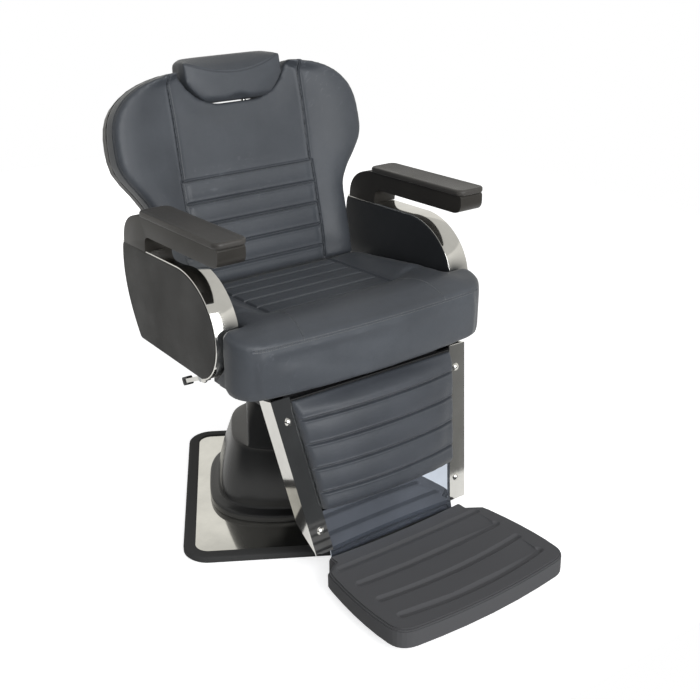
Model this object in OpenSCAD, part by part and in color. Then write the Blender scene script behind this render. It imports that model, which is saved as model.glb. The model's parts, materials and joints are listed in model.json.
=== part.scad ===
// Hydraulic barber chair with a swivelling lift column, a reclining back,
// a legrest that follows the back, a folding footrest and a sliding headrest.
// Millimetres. +Z is up and the chair faces -Y. The origin lies on the floor
// under the axis of the lift column. The lift is modelled at its lowest.

/* [Base] */
// Side of the square floor base over its rubber rim
base_w = 580; // [560:5:640]
// Outer corner radius of the base
base_r = 57; // [50:1:75]
// Turn of the base and the column under the seat
base_turn = -30.5; // [-90:0.5:90]
// Width of the rubber rim seen from above
rim_w = 26; // [22:1:30]
// Height of the rubber rim
rim_h = 16; // [15:0.5:20]
// Thickness of the polished base plate
plate_t = 10; // [6:0.5:11]

/* [Column cover] */
// Length of the moulded cover at its foot
cover_l = 428; // [400:2:440]
// Depth of the moulded cover at its foot
cover_d = 340; // [324:2:350]
// Distance of the cover's foot centre behind the column axis
cover_shift = 30; // [24:1:36]
// Height of the cover's top above the floor
cover_h = 285; // [265:1:300]
// Height of the flat ledges at both ends of the cover
ledge_h = 171; // [140:1:200]
// Width of the cover between the two ledges
turret_w = 281; // [260:1:300]
// Wall of the cover
cover_wall = 4; // [2.5:0.5:5]

/* [Lift column] */
// Outer diameter of the pump cylinder
cyl_d = 100; // [90:1:108]
// Diameter of the ram
ram_d = 60; // [50:1:64]
// Height that the pump can raise the seat
lift = 150; // [120:5:160]
// Running clearance on the radius of rams, shafts and pins
run_gap = 0.05; // [0.02:0.01:0.1]

/* [Pedal] */
// Height of the pedal pivot above the floor
pedal_z = 82; // [76:1:90]
// Reach of the pedal from its pivot to the middle of its pad
pedal_l = 152; // [145:1:154]
// Diameter of the pedal pin
pedal_pin_d = 12; // [10:0.5:14]

/* [Seat] */
// Width of the seat cushion in front of the arms
seat_w = 642; // [626:2:650]
// Height of the seat cushion's front seam over its board
seat_front_h = 117; // [105:1:125]
// Distance of the front seam before the column axis
seat_front = 272; // [262:1:282]
// Distance of the back end of the cushion behind the column axis
seat_rear = 165; // [155:1:168]
// Half width of the sewn middle panel of the seat
seat_panel = 160; // [140:2:180]
// Pitch of the sewn channels in the seat and the back
channel_pitch = 51; // [46:1:54]
// Depth of the sewn channels
channel_d = 7; // [4:0.5:10]
// Thickness of the seat board
board_t = 15; // [12:0.5:18]
// Outer size of the square tube of the seat frame
tube = 30; // [26:1:32]

/* [Arms] */
// Width over the outer faces of both arms
arm_span = 654; // [646:2:670]
// Thickness of one arm over its two panels
arm_t = 54; // [48:1:58]
// Height of the arm panels
arm_h = 216; // [206:1:228]
// Distance of the arms' front before the column axis
arm_front = 171; // [165:1:176]
// Thickness of the chrome band round the arm
band_t = 3; // [2:0.5:4]
// Thickness of one arm panel
panel_t = 10; // [8:0.5:14]
// Width of the soft pad on the armrest
pad_w = 74; // [66:1:80]
// Rise of the arm's top edge towards the front, in degrees
arm_rise = 2; // [0:0.25:3]
// Height of the moulded armrest over the band
rest_h = 75; // [70:1:84]
// Thickness of the soft pad on the armrest
pad_t = 13; // [10:0.5:16]

/* [Back] */
// Lean of the back from the vertical when upright
back_tilt = 13.85; // [12:0.25:16]
// Height of the back cushion along its slope
back_l = 486; // [476:1:496]
// Half width of the back between the arms
back_waist = 252; // [240:1:258]
// Half width of the back across its wings
back_wing = 320; // [300:1:335]
// Depth of the wings' forward curve
wing_lift = 28; // [15:1:32]
// Thickness of the cushion at its middle
back_foam = 35; // [30:1:42]
// Half width of the sewn middle panel of the back
back_panel = 169; // [155:1:180]
// Half width of the notch for the headrest
notch_w = 137; // [132:1:142]
// Depth of the notch from the top of the back
notch_d = 81; // [78:1:86]

/* [Headrest] */
// Half width of the headrest pillow
head_w = 123; // [112:1:124]
// Height of the headrest pillow
head_l = 98; // [92:1:110]
// Travel of the headrest
head_travel = 80; // [60:5:90]

/* [Legrest] */
// Lean of the legrest from the vertical
leg_tilt = 13; // [11:0.5:15]
// Length of the polished legrest brackets
leg_l = 346; // [338:1:350]
// Half width over the brackets at the top
leg_top = 254.5; // [252:0.5:258]
// Half width over the brackets at the foot
leg_foot = 203.5; // [198:0.5:210]
// Width of the bracket's front flange
flange_w = 44; // [40:1:48]
// Depth of the bracket's side flange
flange_d = 45; // [42:1:48]
// Thickness of the bracket's sheet
bracket_t = 4; // [3:0.5:5]
// Crown of the calf pad at its middle
calf_crown = 42; // [30:1:46]
// Pitch of the sewn channels in the calf pad
calf_pitch = 54; // [50:1:56]

/* [Footrest] */
// Half width of the footrest at its foot edge
foot_w = 227; // [221:1:236]
// Distance of the footrest's front edge before the column axis
foot_front = 648; // [630:1:670]
// Height of the top of the footrest above the floor
foot_z = 60; // [58:0.5:61]
// Thickness of the footrest
foot_t = 34; // [32:0.5:36]
// Rise of the tread towards the front, in degrees
foot_rise = 1.5; // [0:0.25:2]
// Number of grooves in the tread
grooves = 4; // [3:1:4]
// Pitch of the grooves
groove_pitch = 65; // [60:1:66]

/* [Hidden] */
$fn = 64;

// Free space kept between two separate bodies
body_gap = 0.3;
SIDES = [-1, 1];

// Stack of the column, from the floor to the seat cushion
plate_z = 3;
plate_foot_d = 220;
deck_z = plate_z + plate_t;
head_z = cover_h + 33;
head_t = 12;
bearing_z = head_z + head_t;
bearing_t = 8;
hub_z = bearing_z + bearing_t + body_gap;
hub_h = 28;
frame_z = hub_z + hub_h;
frame_top = frame_z + tube;
seat_z = frame_top + board_t;
spindle_d = 36;
hub_d = 100;
hub_plate = [190, 200, 8];

// Cover: height of its foot flange, and its roundness in plan
flange_z = deck_z + 18;
roundness = 3.4;
collar_d = cyl_d + 18;

// Pedal lever and the pump block that carries it
block_w = 60;
ear_gap = 16;
pedal_v = cyl_d / 2 + 62;
pad_drop = 8;
bolt_turns = [for (k = [0:3]) base_turn + 45 + 90 * k];

// Seat frame: rails, ears and beams
rail_x = 215;
ear_t = 8;
ear_x = rail_x + tube / 2 + ear_t / 2;
front_beam = [-215, -185];
hub_beams = 55;
rear_strip = [125, 160];

// Arms
arm_in = arm_span / 2 - arm_t;
arm_mid = arm_span / 2 - arm_t / 2;
arm_z = seat_z + 10;
arm_top = arm_z + arm_h;
arm_rear = 216;
ear_back = arm_front + band_t + 3;
mid_w = arm_in - 7;
bracket_y = [-80, 80];
rest_y = -30;
rest_top = band_t + rest_h;

// Recline lever
lever_at = [-70, arm_z - 16];
lever_tip = [22, arm_z - 60.5];
lever_x = arm_in + 25;
lever_pin_d = 8;

// Foot of the back's front face, and the hinge in the back's own axes
back_y = seat_rear + 1.3;
back_z = seat_z + 78.7;
hinge_n = 53;
hinge_s = -54;
hinge_at = [
    back_y + hinge_n * cos(back_tilt) + hinge_s * sin(back_tilt),
    back_z - hinge_n * sin(back_tilt) + hinge_s * cos(back_tilt)
];
hinge_pin_d = 16;
torque_d = 30;
notch_s = back_l - notch_d;
back_foot = 4;
bar_n = 46.3;
bar_x = 45;
bar_d = 12;
guide_d = 18;
guide_l = 143;

// Foot of the legrest brackets' front face, and the legrest's pivot
leg_z = frame_z - 299.2;
leg_y = 23.2 - seat_front - leg_l * sin(leg_tilt);
leg_pivot = [-238, seat_z - 33.3];
leg_pin_d = 10;
calf_foot = 92;
calf_top = 338;

// Levers of the back and the legrest, kept parallel by the link rods
lever_r = 75;
lever_lag = 27.5;
link_x = 150;
link_t = 6;
link_w = 22;
link_pin_d = 10;
lag = [lever_r * sin(lever_lag), -lever_r * cos(lever_lag)];
rear_pin = hinge_at + lag;
front_pin = leg_pivot + lag;

// Gas spring between the front beam and a shorter lever of the back
gas_x = 120;
gas_r = 60;
gas_eye = 20;
gas_pin_d = 8;
gas_rear = hinge_at + gas_r * [sin(lever_lag), -cos(lever_lag)];
gas_front = [-165, frame_z - 34];

// Footrest hinge and the outline of the tread
foot_hinge = [-344, foot_z - 16];
foot_rear = -338;
barrel_r = 8;
foot_pin_d = 7;
neck_w = 180;
neck_y = -356;
knuckle = [58, 88];

function bezier(a, b, c, n) =
    [for (i = [0:n]) let (t = i / n) (1 - t) * (1 - t) * a + 2 * t * (1 - t) * b + t * t * c];
function smooth(t) = let (s = min(max(t, 0), 1)) s * s * (3 - 2 * s);
function mix(a, b, t) = a + (b - a) * t;
function bump(v, p) = sign(v) * pow(abs(v), p);
function superellipse(a, b, n, count) = [
    for (i = [0:count - 1]) let (t = 360 * i / count)
        [a * bump(cos(t), 2 / n), b * bump(sin(t), 2 / n)]
];
function arc(c, a, b, from, to, n) =
    [for (i = [0:n]) let (t = mix(from, to, i / n)) c + [a * cos(t), b * sin(t)]];

module on_base() rotate([0, 0, base_turn]) children();
module on_back() translate([0, back_y, back_z]) rotate([-back_tilt, 0, 0]) children();
module on_leg() translate([0, leg_y, leg_z]) rotate([-leg_tilt, 0, 0]) children();

// Plate of thickness t centred on x, its outline drawn as forward and up
module slab(x, t) translate([x + t / 2, 0, 0]) rotate([90, 0, -90]) linear_extrude(t) children();

// Cylinder along X, centred on x, through the point p = [y, z]
module x_rod(x, l, d, p)
    translate([x, p[0], p[1]]) rotate([0, 90, 0]) cylinder(h = l, d = d, center = true);

// Box between two corners
module block(a, b) translate(a) cube(b - a);

// Square tube along Y between two y, centred on x, standing on z
module rail(x, y, z) difference() {
    block([x - tube / 2, y[0], z], [x + tube / 2, y[1], z + tube]);
    block([x - tube / 2 + 2.5, y[0] - 1, z + 2.5], [x + tube / 2 - 2.5, y[1] + 1, z + tube - 2.5]);
}

module round_rect(w, d, r) {
    square([w - 2 * r, d], center = true);
    square([w, d - 2 * r], center = true);
    for (x = SIDES, y = SIDES) translate([x * (w / 2 - r), y * (d / 2 - r)]) circle(r);
}

// Sweeps a profile round a rounded rectangle; its x is the distance from a
// corner's centre
module sweep_round(w, d, r) {
    for (q = [0:3]) rotate([0, 0, 90 * q]) {
        a = q % 2 == 0 ? w : d;
        b = q % 2 == 0 ? d : w;
        translate([a / 2 - r, b / 2 - r, 0]) {
            rotate_extrude(angle = 90) children();
            rotate([90, 0, 0]) linear_extrude(b - 2 * r) children();
        }
    }
}

// Flat bar of width w from p to q with a bore d at both ends, points as [y, z]
module link_bar(x, t, p, q, w, d) difference() {
    union() {
        slab(x, t) translate([-p[0], p[1]]) rotate(atan2(q[1] - p[1], p[0] - q[0]))
            translate([0, -w / 2]) square([norm(q - p), w]);
        for (e = [p, q]) x_rod(x, t, w, e);
    }
    for (e = [p, q]) x_rod(x, t + 2, d, e);
}

// ---------------------------------------------------------------- soft forms

// Closed skin over rings. Each ring has n upper points from left to right, s
// points down its right side, n lower points from right to left and s points
// up its left side
module skin(rings, n, s) {
    m = 2 * (n + s);
    last = (len(rings) - 1) * m;
    walls = [for (r = [0:m:last - m], i = [0:m - 1]) let (j = (i + 1) % m) each
        [[r + i, r + j, r + m + j], [r + i, r + m + j, r + m + i]]];
    low = 2 * n + s - 1;
    cap = concat(
        [for (i = [0:n - 2]) each [[i, low - i, i + 1], [i + 1, low - i, low - i - 1]]],
        [for (k = [0:s - 1]) each [[n - 1, n + k + 1, n + k], [0, low + k + 1, low + k]]]
    );
    far_cap = [for (f = cap) [f[0] + last, f[2] + last, f[1] + last]];
    polyhedron(points = [for (r = rings) each r], faces = concat(walls, cap, far_cap));
}

// Symmetric places across a cushion: its middle, both sides of a welt at p,
// and its rounded edge at half width w
function across(p, w, edge) = let (half = [85, p - 11, p, p + 12, (p + 12 + w - edge) / 2, w - edge, w - 3])
    concat([for (i = [6:-1:0]) -half[i]], [0], half);

// Height of a row of sewn channels: deep at every seam and full between them
function channels(t, pitch) = let (f = t / pitch - floor(t / pitch))
    3 - (channel_d + 3) * pow(1 - sin(180 * f), 4);

// Places of the seams from a, going down, with three places between each pair
function seam_rows(a, pitch, count) = [
    for (k = [0:count - 1], f = [0, 0.16, 0.5, 0.84]) a - (k + f) * pitch
];

// Seat cushion. Rows run from its back end to its front face
crease = 105;
seat_bow = 28;
seat_corner = 42;
function seat_half(y) =
    y > -ear_back ? mid_w
    : y > -ear_back - 7 ? seat_w / 2 - 7
    : let (t = max(0, (-y - seat_front + seat_corner) / seat_corner))
        seat_w / 2 - seat_corner * (1 - sqrt(max(0, 1 - t * t)));
function seat_roll(y) = let (t = (-y - crease) / (seat_front - crease))
    seat_z + mix(seat_front_h - 10, seat_front_h, t) + 24 * pow(max(0, sin(180 * min(t, 1))), 0.8)
    - (t > 1 ? (-y - seat_front) * 3.5 : 0);
function seat_flat(y) = seat_z + 92.7 + (150 - y) * 0.055;
function seat_side(y) = seat_z + 88.7 + (195 - y) * 0.136;
function seat_top(x, y) =
    let (
        out = smooth((abs(x) - seat_panel) / 70),
        crown = 7 * max(0, sin(180 * (abs(x) - seat_panel) / (mid_w - seat_panel))),
        welt = abs(abs(x) - seat_panel) < 1 ? channel_d * 0.7 : 0,
        run = 18 + 16 * out,
        rear = y > seat_rear - run ? pow((y - seat_rear + run) / run, 2) * (14 + 12 * out) : 0,
        rows = abs(x) > seat_panel + 1 ? 0 : channels(y + crease, channel_pitch),
        t = (-y - crease) / (seat_front - crease)
    )
    y > -crease
        ? mix(seat_flat(y) + 2, seat_side(y) + crown, out) + rows - welt - rear
        : mix(seat_roll(y), max(seat_roll(y), seat_side(y)), out * (1 - smooth((t - 0.1) / 0.5)));
// Height of the low ears under the curve of the arms' fronts
function ear_z(y) = let (t = (-y - arm_front + 81) / (81 + band_t + 3))
    arm_top - 123 - (arm_h - 117) * sqrt(max(0, 1 - t * t));
// Two points of the side of a row; the ears reach back under the arms' fronts
function seat_ear(y, w, edge, low) =
    y < -ear_back ? [[w, edge - 16], [w - 1, low + 14]]
    : y > -132 ? [[w, y < -130 ? ear_z(-132.5) : edge - 16], [w - 1, low + 14]]
    : [[w, ear_z(y)], [seat_w / 2 - 7 - (y > -134 ? 12 : 0), ear_z(y) - 5]];
function seat_row(y) =
    let (
        w = seat_half(y),
        xs = across(seat_panel, w, 16),
        bow = seat_bow * smooth((-y - ear_back) / 60) / pow(seat_w / 2, 2),
        low = seat_z + (y < -seat_front + 8 ? (-y - seat_front + 8) * 0.9 : 0),
        tops = [for (i = [0:14]) seat_top(xs[i], y) - (i == 0 || i == 14 ? 9 : i == 1 || i == 13 ? 2 : 0)],
        side = seat_ear(y, w, tops[0], low)
    )
    concat(
        [for (i = [0:14]) [xs[i], y + bow * xs[i] * xs[i], tops[i]]],
        [for (p = side) [p[0], y + bow * p[0] * p[0], p[1]]],
        [for (i = [14:-1:0]) let (x = xs[i] * (side[1][0] - 6) / w) [x, y + bow * x * x, low]],
        [for (p = [side[1], side[0]]) [-p[0], y + bow * p[0] * p[0], p[1]]]
    );

// Half width of the back at the height s along its slope
function back_half(s) =
    s < 170 ? back_waist
    : s < 320 ? mix(back_waist, back_wing, (1 - cos(180 * min(1, (s - 170) / 145))) / 2)
    : back_wing * pow(max(0, 1 - pow((s - 320) / (back_l - 318), 3.1)), 1 / 3.1);

// Outline of the back, drawn in by g
function back_edge(g) = let (
        foot = back_foot + g,
        head = back_l - g,
        rows = concat([foot, 100, 170], [for (i = [1:16]) 170 + (head - 170) * sin(90 * i / 16)])
    )
    concat([for (s = rows) [back_half(s) - g, s]], [for (i = [18:-1:0]) [g - back_half(rows[i]), rows[i]]]);

// Notch of the headrest, grown by g
module notch(g) {
    w = notch_w + g;
    low = notch_s - g;
    side = bezier([w + 4, back_l - 4], [w - 19, low + 3], [50, low], 12);
    polygon(concat([[w + 10, back_l + 40]], side, [for (i = [12:-1:0]) [-side[i][0], side[i][1]]],
        [[-w - 10, back_l + 40]]));
}

function back_front(x, s) =
    let (
        w = back_half(s),
        wing = mix(18, wing_lift, smooth((s - 150) / 150)),
        t = max(0, (abs(x) - back_panel) / (max(w, back_panel + 60) - back_panel)),
        welt = abs(abs(x) - back_panel) < 1 ? channel_d : 0,
        upper = back_panel_top < s,
        middle = upper ? 8 * sin(135 * min(1, (s - back_panel_top) / 240))
            : channels(back_panel_top - s, channel_pitch)
    )
    welt - wing * pow(min(t, 1), 1.5) - 9 * max(0, sin(180 * min(t, 1))) - (t > 0 ? 2 : middle);
back_panel_top = 248;
function back_row(s) =
    let (
        w = back_half(s),
        squeeze = min(1, w / back_waist),
        xs = across(back_panel, max(w, back_waist), 15) * squeeze,
        end = s < back_foot + 14 ? pow((back_foot + 14 - s) / 14, 2) * 14
            : s > back_l - 12 ? pow((s - back_l + 12) / 12, 2) * 10 : 0,
        foot = s < 30 ? (30 - s) * 0.5 / back_foam : 0,
        fronts = [for (i = [0:14]) back_front(xs[i] / squeeze, s) + end + (i == 0 || i == 14 ? 9 : 0)],
        e = fronts[0]
    )
    concat(
        [for (i = [0:14]) [xs[i], fronts[i], s]],
        [[w, e + 14, s - foot * (e + 14)], [w - 1, back_foam - 8, s - foot * 27]],
        [for (i = [14:-1:0]) [xs[i] * (w - 7) / w, back_foam, s - foot * back_foam]],
        [[1 - w, back_foam - 8, s - foot * 27], [-w, e + 14, s - foot * (e + 14)]]
    );

// Calf pad. Rows run down from the pad's top to its foot
function leg_half(s) = mix(leg_foot, leg_top, s / leg_l);
function calf_row(s) =
    let (
        w = leg_half(s) - flange_w - 1,
        share = [0.99, 0.93, 0.75, 0.5, 0.25],
        xs = concat([for (f = share) -f * w], [0], [for (i = [4:-1:0]) share[i] * w]),
        top = smooth((calf_top - s) / 45),
        foot = smooth((s - calf_foot + 12) / 30),
        fronts = [for (x = xs) -(9 + 7 * top * foot + (calf_crown - 19) * (1 - pow(x / w, 2)) * top
            * mix(0.8, 1, foot) + channels(s - calf_foot - 41, calf_pitch) * top)],
        e = fronts[0] + 6
    )
    concat(
        [for (i = [0:10]) [xs[i], i == 0 || i == 10 ? e : fronts[i], s]],
        [[w, e / 2, s]],
        [for (i = [10:-1:0]) [xs[i], bracket_t, s]],
        [[-w, e / 2, s]]
    );

// Headrest pillow. Its top leans back from a front edge that dips in the middle
head_s = notch_s + 9;
head_top = head_s + head_l;
// Half width of the notch at the height s: the curve of its side, solved for s
function notch_half(s) =
    let (
        a = back_l - 4,
        b = notch_s + 3,
        k = a - 2 * b + notch_s,
        u = s >= a ? 0 : (a - b - sqrt(pow(a - b, 2) - k * (a - s))) / k
    )
    (notch_w + 4) * pow(1 - u, 2) + 2 * (notch_w - 19) * u * (1 - u) + 50 * u * u;
function head_row(s) =
    let (
        t = (s - head_s) / head_l,
        w = min(head_w, notch_half(s) - 3) - (t < 0.76 ? 0 : 24 * pow((t - 0.76) / 0.24, 3)),
        xs = [for (f = [-0.98, -0.9, -0.72, -0.45, -0.22, 0, 0.22, 0.45, 0.72, 0.9, 0.98]) f * w],
        end = t < 0.1 ? pow((0.1 - t) / 0.1, 2) * 14 : 0,
        fronts = [for (x = xs) let (rim = head_s + head_l * 0.56 + 32 * pow(x / head_w, 2))
            s < rim ? -22 + 10 * pow(x / w, 4) + end
            : mix(-22 + 10 * pow(x / w, 4), 34, pow((s - rim) / (head_top - rim + 0.01), 1.2))],
        rear = 60 - 8 * pow(t, 3) - end
    )
    concat(
        [for (i = [0:10]) [xs[i], fronts[i], s]],
        [[w, mix(fronts[10], rear, 0.3), s], [w, mix(fronts[10], rear, 0.75), s]],
        [for (i = [10:-1:0]) [xs[i], rear - 9 * pow(xs[i] / w, 4), s]],
        [[-w, mix(fronts[0], rear, 0.75), s], [-w, mix(fronts[0], rear, 0.3), s]]
    );

// ---------------------------------------------------------------------- base

module base_rim() color("#2b2b2d") on_base() sweep_round(base_w, base_w, base_r)
    polygon(concat(
        [[base_r - rim_w - 11, 0], [base_r - 3, 0], [base_r, plate_z]],
        bezier([base_r, rim_h - 5], [base_r, rim_h], [base_r - 7, rim_h], 4),
        [[base_r - rim_w + 3, rim_h], [base_r - rim_w, rim_h - 1.4], [base_r - rim_w, deck_z],
            [base_r - rim_w + 4, deck_z], [base_r - rim_w + 4, plate_z], [base_r - rim_w - 11, plate_z]]
    ));

// Polished plate with a round foot that carries the column to the floor
module base_plate() color("#d9dadb") on_base() {
    side = base_w - 2 * rim_w + 8;
    translate([0, 0, plate_z]) linear_extrude(plate_t) round_rect(side, side, base_r - rim_w + 4);
    cylinder(h = plate_z + 1, d = plate_foot_d);
}

// Half length, front, rear of the cover at height z, drawn in by g
function cover_at(z, g) = let (
        t = (z - flange_z) / (ledge_h - flange_z),
        inset = 37 * pow(max(0, t), 1.35)
    )
    [
        max(cover_l / 2 - inset, turret_w / 2 - 2) - g,
        cover_shift - cover_d / 2 + 27 * pow(max(0, t), 1.3) + g,
        cover_shift + cover_d / 2 - 46 * pow(max(0, t), 1.2) - g
    ];
module cover_body(g, top) hull()
    for (f = [0, 0.22, 0.45, 0.62, 0.8, 1]) {
        z = mix(flange_z, top, f);
        c = cover_at(z, g);
        translate([0, (c[1] + c[2]) / 2, z - (f == 1 ? 0.5 : 0)])
            linear_extrude(0.5) polygon(superellipse(c[0], (c[2] - c[1]) / 2, roundness, 48));
    }
// The cover's shape with its end ledges cut, drawn in by g
module cover_form(g) difference() {
    cover_body(g, cover_h - g);
    for (x = SIDES) translate([x * (turret_w / 2 - g + 100), cover_shift, ledge_h - g + 100])
        cube([200, cover_d + 100, 200], center = true);
}
module column_cover() color("#151517") on_base() difference() {
    union() {
        cover_form(0);
        for (k = [[deck_z, flange_z - deck_z - 3, 0], [flange_z - 3, 3, 3]])
            translate([0, cover_shift - 8, k[0]]) linear_extrude(k[1])
                polygon(superellipse(cover_l / 2 + 20 - k[2], cover_d / 2 + 18 - k[2], 3.2, 64));
    }
    cover_form(cover_wall);
    translate([0, cover_shift, deck_z - 1]) linear_extrude(flange_z - deck_z + 2)
        polygon(superellipse(cover_l / 2 - cover_wall, cover_d / 2 - cover_wall, roundness, 48));
    translate([0, 0, cover_h - 30]) cylinder(h = 60, d = collar_d);
    block([-22, cover_shift + 60, pedal_z - 50], [22, cover_shift + cover_d, pedal_z + 30]);
}

// Rubber collar between the cover's top and the cylinder
module cover_collar() color("#26262a") translate([0, 0, cover_h - cover_wall]) difference() {
    union() {
        cylinder(h = cover_wall, d = collar_d);
        translate([0, 0, cover_wall]) cylinder(h = 4, d1 = collar_d + 12, d2 = collar_d + 4);
    }
    translate([0, 0, -1]) cylinder(h = cover_wall + 6, d = cyl_d);
}

// -------------------------------------------------------------------- column

module pump_cylinder() color("#8d9093") difference() {
    union() {
        translate([0, 0, deck_z]) cylinder(h = 12, d = cyl_d + 66);
        translate([0, 0, deck_z]) cylinder(h = cover_h - 6 - deck_z, d = cyl_d);
    }
    translate([0, 0, deck_z + 14]) cylinder(h = cover_h, d = cyl_d - 12);
    for (a = bolt_turns) rotate([0, 0, a]) translate([cyl_d / 2 + 20, 0, deck_z - 1])
        cylinder(h = 14, d = 11);
}

// Bronze bush that closes the cylinder and guides the ram
module pump_gland() color("#b58a4a") difference() {
    union() {
        translate([0, 0, cover_h - 42]) cylinder(h = 36, d = cyl_d - 12);
        translate([0, 0, cover_h - 6]) cylinder(h = 10, d = cyl_d - 2);
    }
    translate([0, 0, cover_h - 43]) cylinder(h = 60, d = ram_d + 2 * run_gap);
}

module pump_bolts() color("#c9cbcd") for (a = bolt_turns) rotate([0, 0, a])
    translate([cyl_d / 2 + 20, 0, 0]) {
        translate([0, 0, deck_z]) cylinder(h = 13, d = 10.5);
        translate([0, 0, deck_z + 12]) cylinder(h = 7, d = 17, $fn = 6);
    }

// Pump body behind the cylinder, with the ears that carry the pedal
module pump_block() color("#4a4d50") on_base() difference() {
    union() {
        difference() {
            block([-block_w / 2, 0, deck_z + 12], [block_w / 2, cyl_d / 2 + 40, pedal_z + 14]);
            cylinder(h = 400, d = cyl_d);
        }
        for (x = SIDES) block(
            [x * (ear_gap / 2 + 6) - 6, cyl_d / 2 + 38, pedal_z - 14],
            [x * (ear_gap / 2 + 6) + 6, pedal_v + 13, pedal_z + 14]);
    }
    x_rod(0, block_w, pedal_pin_d, [pedal_v, pedal_z]);
}

module pedal_pin() color("#c9cbcd") on_base() {
    x_rod(0, ear_gap + 24, pedal_pin_d, [pedal_v, pedal_z]);
    for (x = SIDES) x_rod(x * (ear_gap / 2 + 13.5), 3, pedal_pin_d + 6, [pedal_v, pedal_z]);
}

module pedal_lever() color("#b9bcbe") on_base() difference() {
    union() {
        x_rod(0, ear_gap - 1, 26, [pedal_v, pedal_z]);
        block([-6, pedal_v + 8, pedal_z - 9], [6, pedal_v + pedal_l - 28, pedal_z + 9]);
        translate([0, pedal_v + pedal_l - 28, pedal_z - pad_drop / 2]) rotate([-90, 0, 0])
            cylinder(h = 58, d = 14);
        block(
            [-6, pedal_v + pedal_l - 36, pedal_z - pad_drop - 5],
            [6, pedal_v + pedal_l - 26, pedal_z + 9]);
    }
    x_rod(0, ear_gap + 2, pedal_pin_d + 2 * run_gap, [pedal_v, pedal_z]);
}

module pedal_pad() color("#202022") on_base() translate([0, pedal_v + pedal_l - 24, pedal_z - pad_drop / 2])
    rotate([-90, 0, 0]) difference() {
        union() {
            cylinder(h = 56, d = 30);
            translate([0, 0, 56]) cylinder(h = 3, d1 = 30, d2 = 24);
        }
        translate([0, 0, -1]) cylinder(h = 55, d = 14);
    }

module ram() color("#e3e4e5") {
    translate([0, 0, head_z - 278]) cylinder(h = 278, d = ram_d);
    translate([0, 0, head_z]) cylinder(h = head_t, d = 96);
    translate([0, 0, bearing_z]) cylinder(h = hub_h + bearing_t + 6, d = spindle_d);
}

module ram_seal() color("#1c1c1e") translate([0, 0, head_z - 278]) difference() {
    cylinder(h = 16, d = cyl_d - 12 - 2 * run_gap);
    translate([0, 0, -1]) cylinder(h = 18, d = ram_d);
}

module thrust_bearing() color("#a9acaf") translate([0, 0, bearing_z]) difference() {
    cylinder(h = bearing_t, d = 92);
    translate([0, 0, -1]) cylinder(h = bearing_t + 2, d = spindle_d);
}

module spindle_nut() color("#8f9295") translate([0, 0, frame_z + body_gap]) difference() {
    cylinder(h = 12, d = 54, $fn = 6);
    translate([0, 0, -1]) cylinder(h = 12, d = spindle_d);
}

// ---------------------------------------------------------------------- seat

module swivel_hub() color("#55585b") difference() {
    union() {
        translate([0, 0, hub_z]) cylinder(h = hub_h, d = hub_d);
        translate([0, 0, frame_z - hub_plate[2] / 2]) cube(hub_plate, center = true);
    }
    translate([0, 0, hub_z - 1]) cylinder(h = hub_h + 2, d = spindle_d + 2 * run_gap);
    for (x = SIDES, y = SIDES) translate([x * 78, y * hub_beams, frame_z - 20]) cylinder(h = 30, d = 10.5);
}

module hub_bolts() color("#c9cbcd") for (x = SIDES, y = SIDES) translate([x * 78, y * hub_beams, 0]) {
    translate([0, 0, frame_z - hub_plate[2] - 7]) cylinder(h = 7, d = 17, $fn = 6);
    translate([0, 0, frame_z - hub_plate[2]]) cylinder(h = 20, d = 10.5);
}

// Welded frame: two rails, the beams over the hub, and the ears of both hinges
module seat_frame() color("#3a3c3f") difference() {
    union() {
        for (x = SIDES) {
            rail(x * rail_x, [front_beam[0], 172], frame_z);
            slab(x * ear_x, ear_t) polygon([
                [-105, frame_z], [-hinge_at[0] + 2, frame_z], [-hinge_at[0] - 17, hinge_at[1] - 24],
                [-hinge_at[0] - 17, hinge_at[1] + 6], [-hinge_at[0] - 6, hinge_at[1] + 17],
                [-hinge_at[0] + 6, hinge_at[1] + 17], [-hinge_at[0] + 17, hinge_at[1] + 6],
                [-hinge_at[0] + 26, seat_z], [-hinge_at[0] + 26, frame_top], [-105, frame_top]]);
            slab(x * ear_x, ear_t) polygon([
                [150, frame_z],
                [-leg_pivot[0] - 4, leg_pivot[1] - 11], [-leg_pivot[0] + 8, leg_pivot[1] - 9],
                [-leg_pivot[0] + 11, leg_pivot[1]], [-leg_pivot[0] + 8, leg_pivot[1] + 9],
                [-leg_pivot[0] - 4, leg_pivot[1] + 13], [150, frame_top]]);
        }
        for (y = [front_beam, [-hub_beams - 15, -hub_beams + 15], [hub_beams - 15, hub_beams + 15]])
            block([-rail_x + tube / 2, y[0], frame_z], [rail_x - tube / 2, y[1], frame_top]);
        block(
            [-rail_x + tube / 2, rear_strip[0], frame_top - 5],
            [rail_x - tube / 2, rear_strip[1], frame_top]);
        for (x = SIDES) slab(gas_x + x * 10, 6) polygon([
            [-gas_front[0] - 14, gas_front[1] - 10], [-gas_front[0] + 8, gas_front[1] - 12],
            [-gas_front[0] + 26, frame_z], [-gas_front[0] + 26, frame_z + 4],
            [-gas_front[0] - 6, frame_z + 4], [-gas_front[0] - 14, gas_front[1] + 10]]);
    }
    for (x = SIDES) x_rod(x * ear_x, ear_t + 4, hinge_pin_d, hinge_at);
    for (x = SIDES) x_rod(x * ear_x, ear_t + 4, leg_pin_d, leg_pivot);
    x_rod(gas_x, 40, gas_pin_d, gas_front);
    for (x = SIDES, y = SIDES) translate([x * 78, y * hub_beams, frame_z - 1]) cylinder(h = 13, d = 10.5);
}

module seat_board() color("#b08a5a") translate([0, 0, frame_top])
    linear_extrude(board_t) difference() {
        translate([0, (seat_rear - 216) / 2]) round_rect(2 * mid_w - 36, seat_rear + 216, 20);
        translate([0, seat_rear]) square([80, 30], center = true);
    }

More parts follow.
